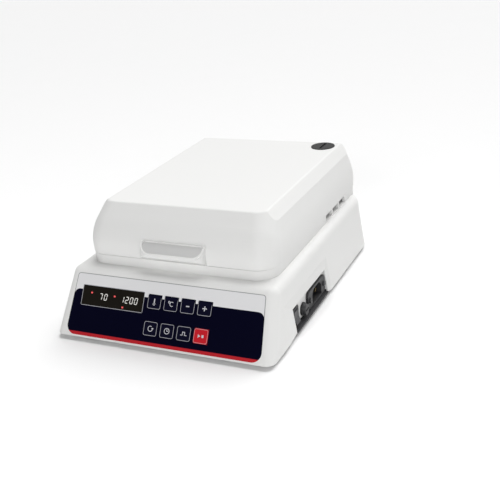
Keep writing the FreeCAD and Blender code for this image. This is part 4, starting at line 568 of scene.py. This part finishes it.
def print_piece(name, body, strokes, height, material, thickness=0.03):
    """Make one mesh of strokes, given in millimetres on the panel at a height above its plane."""
    points, faces = [], []
    for grid in strokes:
        count = grid.shape[1]
        first = sum(len(block) for block in points)
        points.append(grid.reshape(-1, 2))
        step = np.arange(count - 1) + first
        faces.append(np.stack([step + count, step + count + 1, step + 1, step], axis=1))
    flat = np.concatenate(points)
    local = np.column_stack([flat, np.full(len(flat), height)]) * MM
    turn = np.array(panel_to_world)
    world = local @ turn[:3, :3].T + turn[:3, 3]
    mesh = bpy.data.meshes.new(name)
    mesh.from_pydata(world.tolist(), [], np.concatenate(faces).tolist())
    mesh.materials.append(material)
    piece = bpy.data.objects.new(name, mesh)
    scene.collection.objects.link(piece)
    solid = piece.modifiers.new("print thickness", "SOLIDIFY")
    solid.thickness = thickness * MM
    solid.offset = 1
    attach(piece, body)
    return piece


print("strokes ready")

# %% [markdown]
# ## Lit figures and lamps
# A seven-segment figure is drawn in a box of width and height one, in which each segment is a straight line.
# The box is then stretched and leaned over, so every figure of the display comes from the same seven lines.

# %% Lit figures
SEGMENTS = {
    "a": ((0, 1), (1, 1)), "b": ((1, 0.5), (1, 1)), "c": ((1, 0), (1, 0.5)), "d": ((0, 0), (1, 0)),
    "e": ((0, 0), (0, 0.5)), "f": ((0, 0.5), (0, 1)), "g": ((0, 0.5), (1, 0.5)),
}
LIT = {"0": "abcdef", "1": "bc", "2": "abged", "7": "abc"}
FIGURE_HEIGHT, FIGURE_WIDTH, LEAN = 5.6, 2.7, 0.12
SEGMENT_WIDTH, SEGMENT_TIP = 0.62, 0.08
SEGMENT_SHARES = np.array([0.05, 0.15, 0.85, 0.95])


def figure(digit, left, foot):
    """The lit segments of one figure, each a bar with pointed ends, leaning a little to the right."""
    made = []
    for name in LIT[digit]:
        start, end = (np.array(SEGMENTS[name][i]) * (FIGURE_WIDTH, FIGURE_HEIGHT) for i in (0, 1))
        path = start + (end - start) * SEGMENT_SHARES[:, None]
        grid = stroke(path, (SEGMENT_TIP, SEGMENT_WIDTH, SEGMENT_WIDTH, SEGMENT_TIP))
        grid[..., 0] += grid[..., 1] * LEAN + left
        grid[..., 1] += foot
        made.append(grid)
    return made


def lamp_material(name, colour, strength):
    """A lit figure: it gives out its own colour, a little uneven along the segments."""
    material, tree, shader, place = start_material(name)
    grains = use_group(tree, grain_group, Place=place, Grain_Size=0.8 * MM, Gloss=0.5, Gloss_Spread=0.1)
    tone = blend_colour(tree, grains.outputs["Mottle"], shade(colour, 0.9), shade(colour, 1.05))
    tree.links.new(tone, shader.inputs["Emission Color"])
    tree.links.new(tone, shader.inputs["Base Color"])
    shader.inputs["Emission Strength"].default_value = strength
    tree.links.new(grains.outputs["Roughness"], shader.inputs["Roughness"])
    return material


PRINT_LIFT = 0.01
LENS_FACE = lens_high[2] + PRINT_LIFT
FIGURE_FOOT = 37.0
SHORT_PLACES = (-70.0, -64.6)
LONG_PLACES = (-46.3, -41.4, -36.5, -31.6)
LAMP_PLACES = ((-78.6, 42.5), (-53.3, 41.7), (-43.3, 32.6))
LAMP_HALF, LAMP_HEIGHT = 0.9, 1.5
figures = []
for digit, left in zip("701200", SHORT_PLACES + LONG_PLACES):
    figures += figure(digit, left, FIGURE_FOOT)
lit_white = lamp_material("lit_white", (0.62, 0.61, 0.58), 0.55)
lit_red = lamp_material("lit_red", (0.75, 0.08, 0.08), 0.5)
print_piece("display_figures", "base", figures, LENS_FACE, lit_white)
lamps = [stroke(line((x - LAMP_HALF, v), (x + LAMP_HALF, v)), LAMP_HEIGHT) for x, v in LAMP_PLACES]
print_piece("display_lamps", "base", lamps, LENS_FACE, lit_red)
print("figures", len(figures), "lamps", len(lamps))

# %% [markdown]
# ## Signs on the keys
# Each key has a generic sign: a thermometer, a degree sign, minus, plus, a turning arrow, a clock, a pulse
# and a start-and-stop sign. The strokes are drawn round the middle of a key and moved to its place, and each
# sign rides on its own key, so it sinks with the key when that is pressed.

# %% Key signs
LINE, BAR, STEM = 0.6, 0.9, 1.1
POINT = 0.1
PULSE_EDGE, PULSE_END, PULSE_HALF = 1.1, 3.2, 1.4
PULSE_CORNER = PULSE_HALF + LINE / 2

SIGNS = {
    "temperature": [(arc((0, -1.9), 1.0, 0, 360), LINE), (line((0, -1.2), (0, 3.0)), STEM)],
    "unit": [(arc((-1.8, 1.6), 0.8, 0, 360), LINE), (arc((1.0, 0), 1.9, 50, 310), LINE)],
    "minus": [(line((-1.7, 0), (1.7, 0)), BAR)],
    "plus": [(line((-2.2, 0), (2.2, 0)), BAR), (line((0, -2.2), (0, 2.2)), BAR)],
    "speed": [(arc((0, 0), 2.3, 60, 350), LINE), (line((2.25, -1.5), (2.25, 0.9)), (POINT, 2.0))],
    "time": [(arc((0, 0), 2.5, 0, 360), LINE), (line((0, -0.2), (0, 1.7)), LINE),
             (line((-0.2, 0), (1.4, 0)), LINE)],
    "pulse": [(line((-PULSE_END, -PULSE_HALF), (-PULSE_EDGE, -PULSE_HALF)), LINE),
              (line((-PULSE_EDGE, PULSE_HALF), (PULSE_EDGE, PULSE_HALF)), LINE),
              (line((PULSE_EDGE, -PULSE_HALF), (PULSE_END, -PULSE_HALF)), LINE),
              (line((-PULSE_EDGE, -PULSE_CORNER), (-PULSE_EDGE, PULSE_CORNER)), LINE),
              (line((PULSE_EDGE, PULSE_CORNER), (PULSE_EDGE, -PULSE_CORNER)), LINE)],
    "start_stop": [(line((-2.8, 0), (-0.4, 0)), (3.2, POINT)), (line((0.9, 0), (2.9, 0)), 2.4)],
}

sign_pale = moulded("sign_pale", (0.60, 0.60, 0.63), 0.5, mottle=0.03, specular=0.2)
for name, sign in SIGNS.items():
    key = f"key_{name}"
    strokes = [stroke(path, width) + key_middle[key][:2] for path, width in sign]
    face_height = key_faces[key][1][2]
    print_piece(f"sign_{name}", key, strokes, face_height, sign_pale)
print("signs", len(SIGNS))

# %% [markdown]
# ## Raised lip of the grip
# A rounded lip runs down both ends of the dish and along its front edge, so that fingers find it. It is
# moulded in one with the lid. As a surface it is a round section carried along a U-shaped path in the plane
# of the slope, with a radius that falls to nothing at both ends, where it runs out into the lid.

# %% Grip lip
LIP_RADIUS, LIP_TOP = 0.95, 12.0
LIP_RUN_OUT, LIP_LEAST = 0.12, 0.0004
SIDE_GAP, FRONT_GAP = 0.3, 1.5


def lip_path():
    """Down the left side, round a quarter circle, along the front edge, and the same up the right side."""
    inner = DISH_HALF - DISH_CORNER
    round_up = DISH_LOW + DISH_CORNER
    left = line((-DISH_HALF, LIP_TOP), (-DISH_HALF, round_up + SIDE_GAP), 8)
    corner = arc((-inner, round_up), DISH_CORNER, 180, 270, 16)
    front = line((-inner + FRONT_GAP, DISH_LOW), (0, DISH_LOW), 12)
    half = np.concatenate([left, corner, front])
    mirror = half[:-1][::-1] * (-1, 1)
    return np.concatenate([half, mirror])


def round_section(path, radius, around=16):
    """A circle at each point of a flat path, in the plane of its normal and of the height above the slope."""
    slope = np.gradient(path, axis=0)
    slope /= np.linalg.norm(slope, axis=1, keepdims=True)
    side = np.stack([-slope[:, 1], slope[:, 0]], axis=1)
    angle = np.linspace(0, 2 * np.pi, around, endpoint=False)
    flat = path[:, None] + side[:, None] * (radius[:, None] * np.cos(angle))[..., None]
    return np.concatenate([flat, (radius[:, None] * np.sin(angle))[..., None]], axis=2)


path = lip_path()
share = np.linspace(0, 1, len(path))
run_out = np.clip(np.minimum(share, 1 - share) / LIP_RUN_OUT, LIP_LEAST, 1)
radius = LIP_RADIUS * np.sqrt(run_out)
rings = round_section(path, radius)
count, around = rings.shape[:2]
index = np.arange(count * around).reshape(count, around)
beside = np.roll(index, -1, axis=1)
quads = np.stack([index[:-1], index[1:], beside[1:], beside[:-1]], axis=-1)
caps = [index[0].tolist(), index[-1][::-1].tolist()]
turn = np.array(Matrix.Translation(GRIP_ORIGIN) @ Matrix.Rotation(GRIP_ANGLE, 4, "X"))
world_points = rings.reshape(-1, 3) * MM @ turn[:3, :3].T + turn[:3, 3]
lip_mesh = bpy.data.meshes.new("grip_lip")
lip_mesh.from_pydata(world_points.tolist(), [], quads.reshape(-1, 4).tolist() + caps)
lip_mesh.materials.append(finishes["housing_white"])
lip_mesh.shade_smooth()
grip_lip = bpy.data.objects.new("grip_lip", lip_mesh)
scene.collection.objects.link(grip_lip)
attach(grip_lip, "lid")
print("grip lip", len(world_points), "points")

# %% [markdown]
# ## Floor
# The unit stands on a plain white table. Its tone moves by one percent with the broad noise.

# %% Floor
FLOOR_REACH = 6.0
FLOOR_LOW, FLOOR_HIGH = (0.965, 0.965, 0.965, 1), (0.975, 0.975, 0.975, 1)
floor_mesh = bpy.data.meshes.new("table_top")
reach = np.array([-FLOOR_REACH, FLOOR_REACH])
corners = np.stack([*np.meshgrid(reach, reach), np.zeros((2, 2))], axis=-1).reshape(-1, 3)
floor_mesh.from_pydata(corners.tolist(), [], [(0, 1, 3, 2)])
floor_material, tree, shader, place = start_material("table_white")
cloud = use_group(tree, grain_group, Place=place, Grain_Size=2 * MM, Gloss=0.8, Gloss_Spread=0.05)
floor_tone = blend_colour(tree, cloud.outputs["Mottle"], FLOOR_LOW, FLOOR_HIGH)
tree.links.new(floor_tone, shader.inputs["Base Color"])
tree.links.new(cloud.outputs["Roughness"], shader.inputs["Roughness"])
shader.inputs["Specular IOR Level"].default_value = 0.1
floor_mesh.materials.append(floor_material)
floor = bpy.data.objects.new("table_top", floor_mesh)
scene.collection.objects.link(floor)
print("floor", floor_mesh.name)

# %% [markdown]
# ## Light
# A wide sun lamp from above and behind makes the lid's top the brightest face, and a long softbox in front
# lifts the lid's front and the panel. Rays that reach the surroundings directly or by reflection see plain
# white, while the light that the surroundings give is much softer.

# %% Light
SURROUND = 0.1
SUN_ENERGY, SUN_SPREAD = 3.1, math.radians(60)
SUN_FROM = Vector((0.1, 0.56, 0.82))
SOFTBOX_WIDTH, SOFTBOX_HEIGHT, SOFTBOX_POWER = 1.6, 0.4, 13.5
SOFTBOX_PLACE = (0.5, -1.5, 0.8)
SOFTBOX_FROM = Vector((0.3, -1, 0.48))

world = bpy.data.worlds.new("white_studio")
scene.world = world
world.use_nodes = True
tree = world.node_tree
tree.nodes.clear()
path = tree.nodes.new("ShaderNodeLightPath")
seen = calc(tree, "MAXIMUM", path.outputs["Is Camera Ray"],
            calc(tree, "MAXIMUM", path.outputs["Is Glossy Ray"], path.outputs["Is Transmission Ray"]))
strength = calc(tree, "ADD", calc(tree, "MULTIPLY", seen, 1.0 - SURROUND), SURROUND)
sky = add_node(tree, "ShaderNodeBackground", {"Color": (1, 1, 1, 1), "Strength": strength})
output = tree.nodes.new("ShaderNodeOutputWorld")
tree.links.new(sky.outputs[0], output.inputs["Surface"])

sun_data = bpy.data.lights.new("window_light", "SUN")
sun_data.energy = SUN_ENERGY
sun_data.angle = SUN_SPREAD
sun = bpy.data.objects.new("window_light", sun_data)
sun.rotation_euler = SUN_FROM.to_track_quat("Z", "Y").to_euler()
scene.collection.objects.link(sun)

softbox_data = bpy.data.lights.new("front_softbox", "AREA")
softbox_data.shape = "RECTANGLE"
softbox_data.size = SOFTBOX_WIDTH
softbox_data.size_y = SOFTBOX_HEIGHT
softbox_data.energy = SOFTBOX_POWER
softbox = bpy.data.objects.new("front_softbox", softbox_data)
softbox.location = SOFTBOX_PLACE
softbox.rotation_euler = SOFTBOX_FROM.to_track_quat("Z", "Y").to_euler()
scene.collection.objects.link(softbox)
print("sun", sun_data.energy, "surround", SURROUND, "softbox", softbox_data.energy)
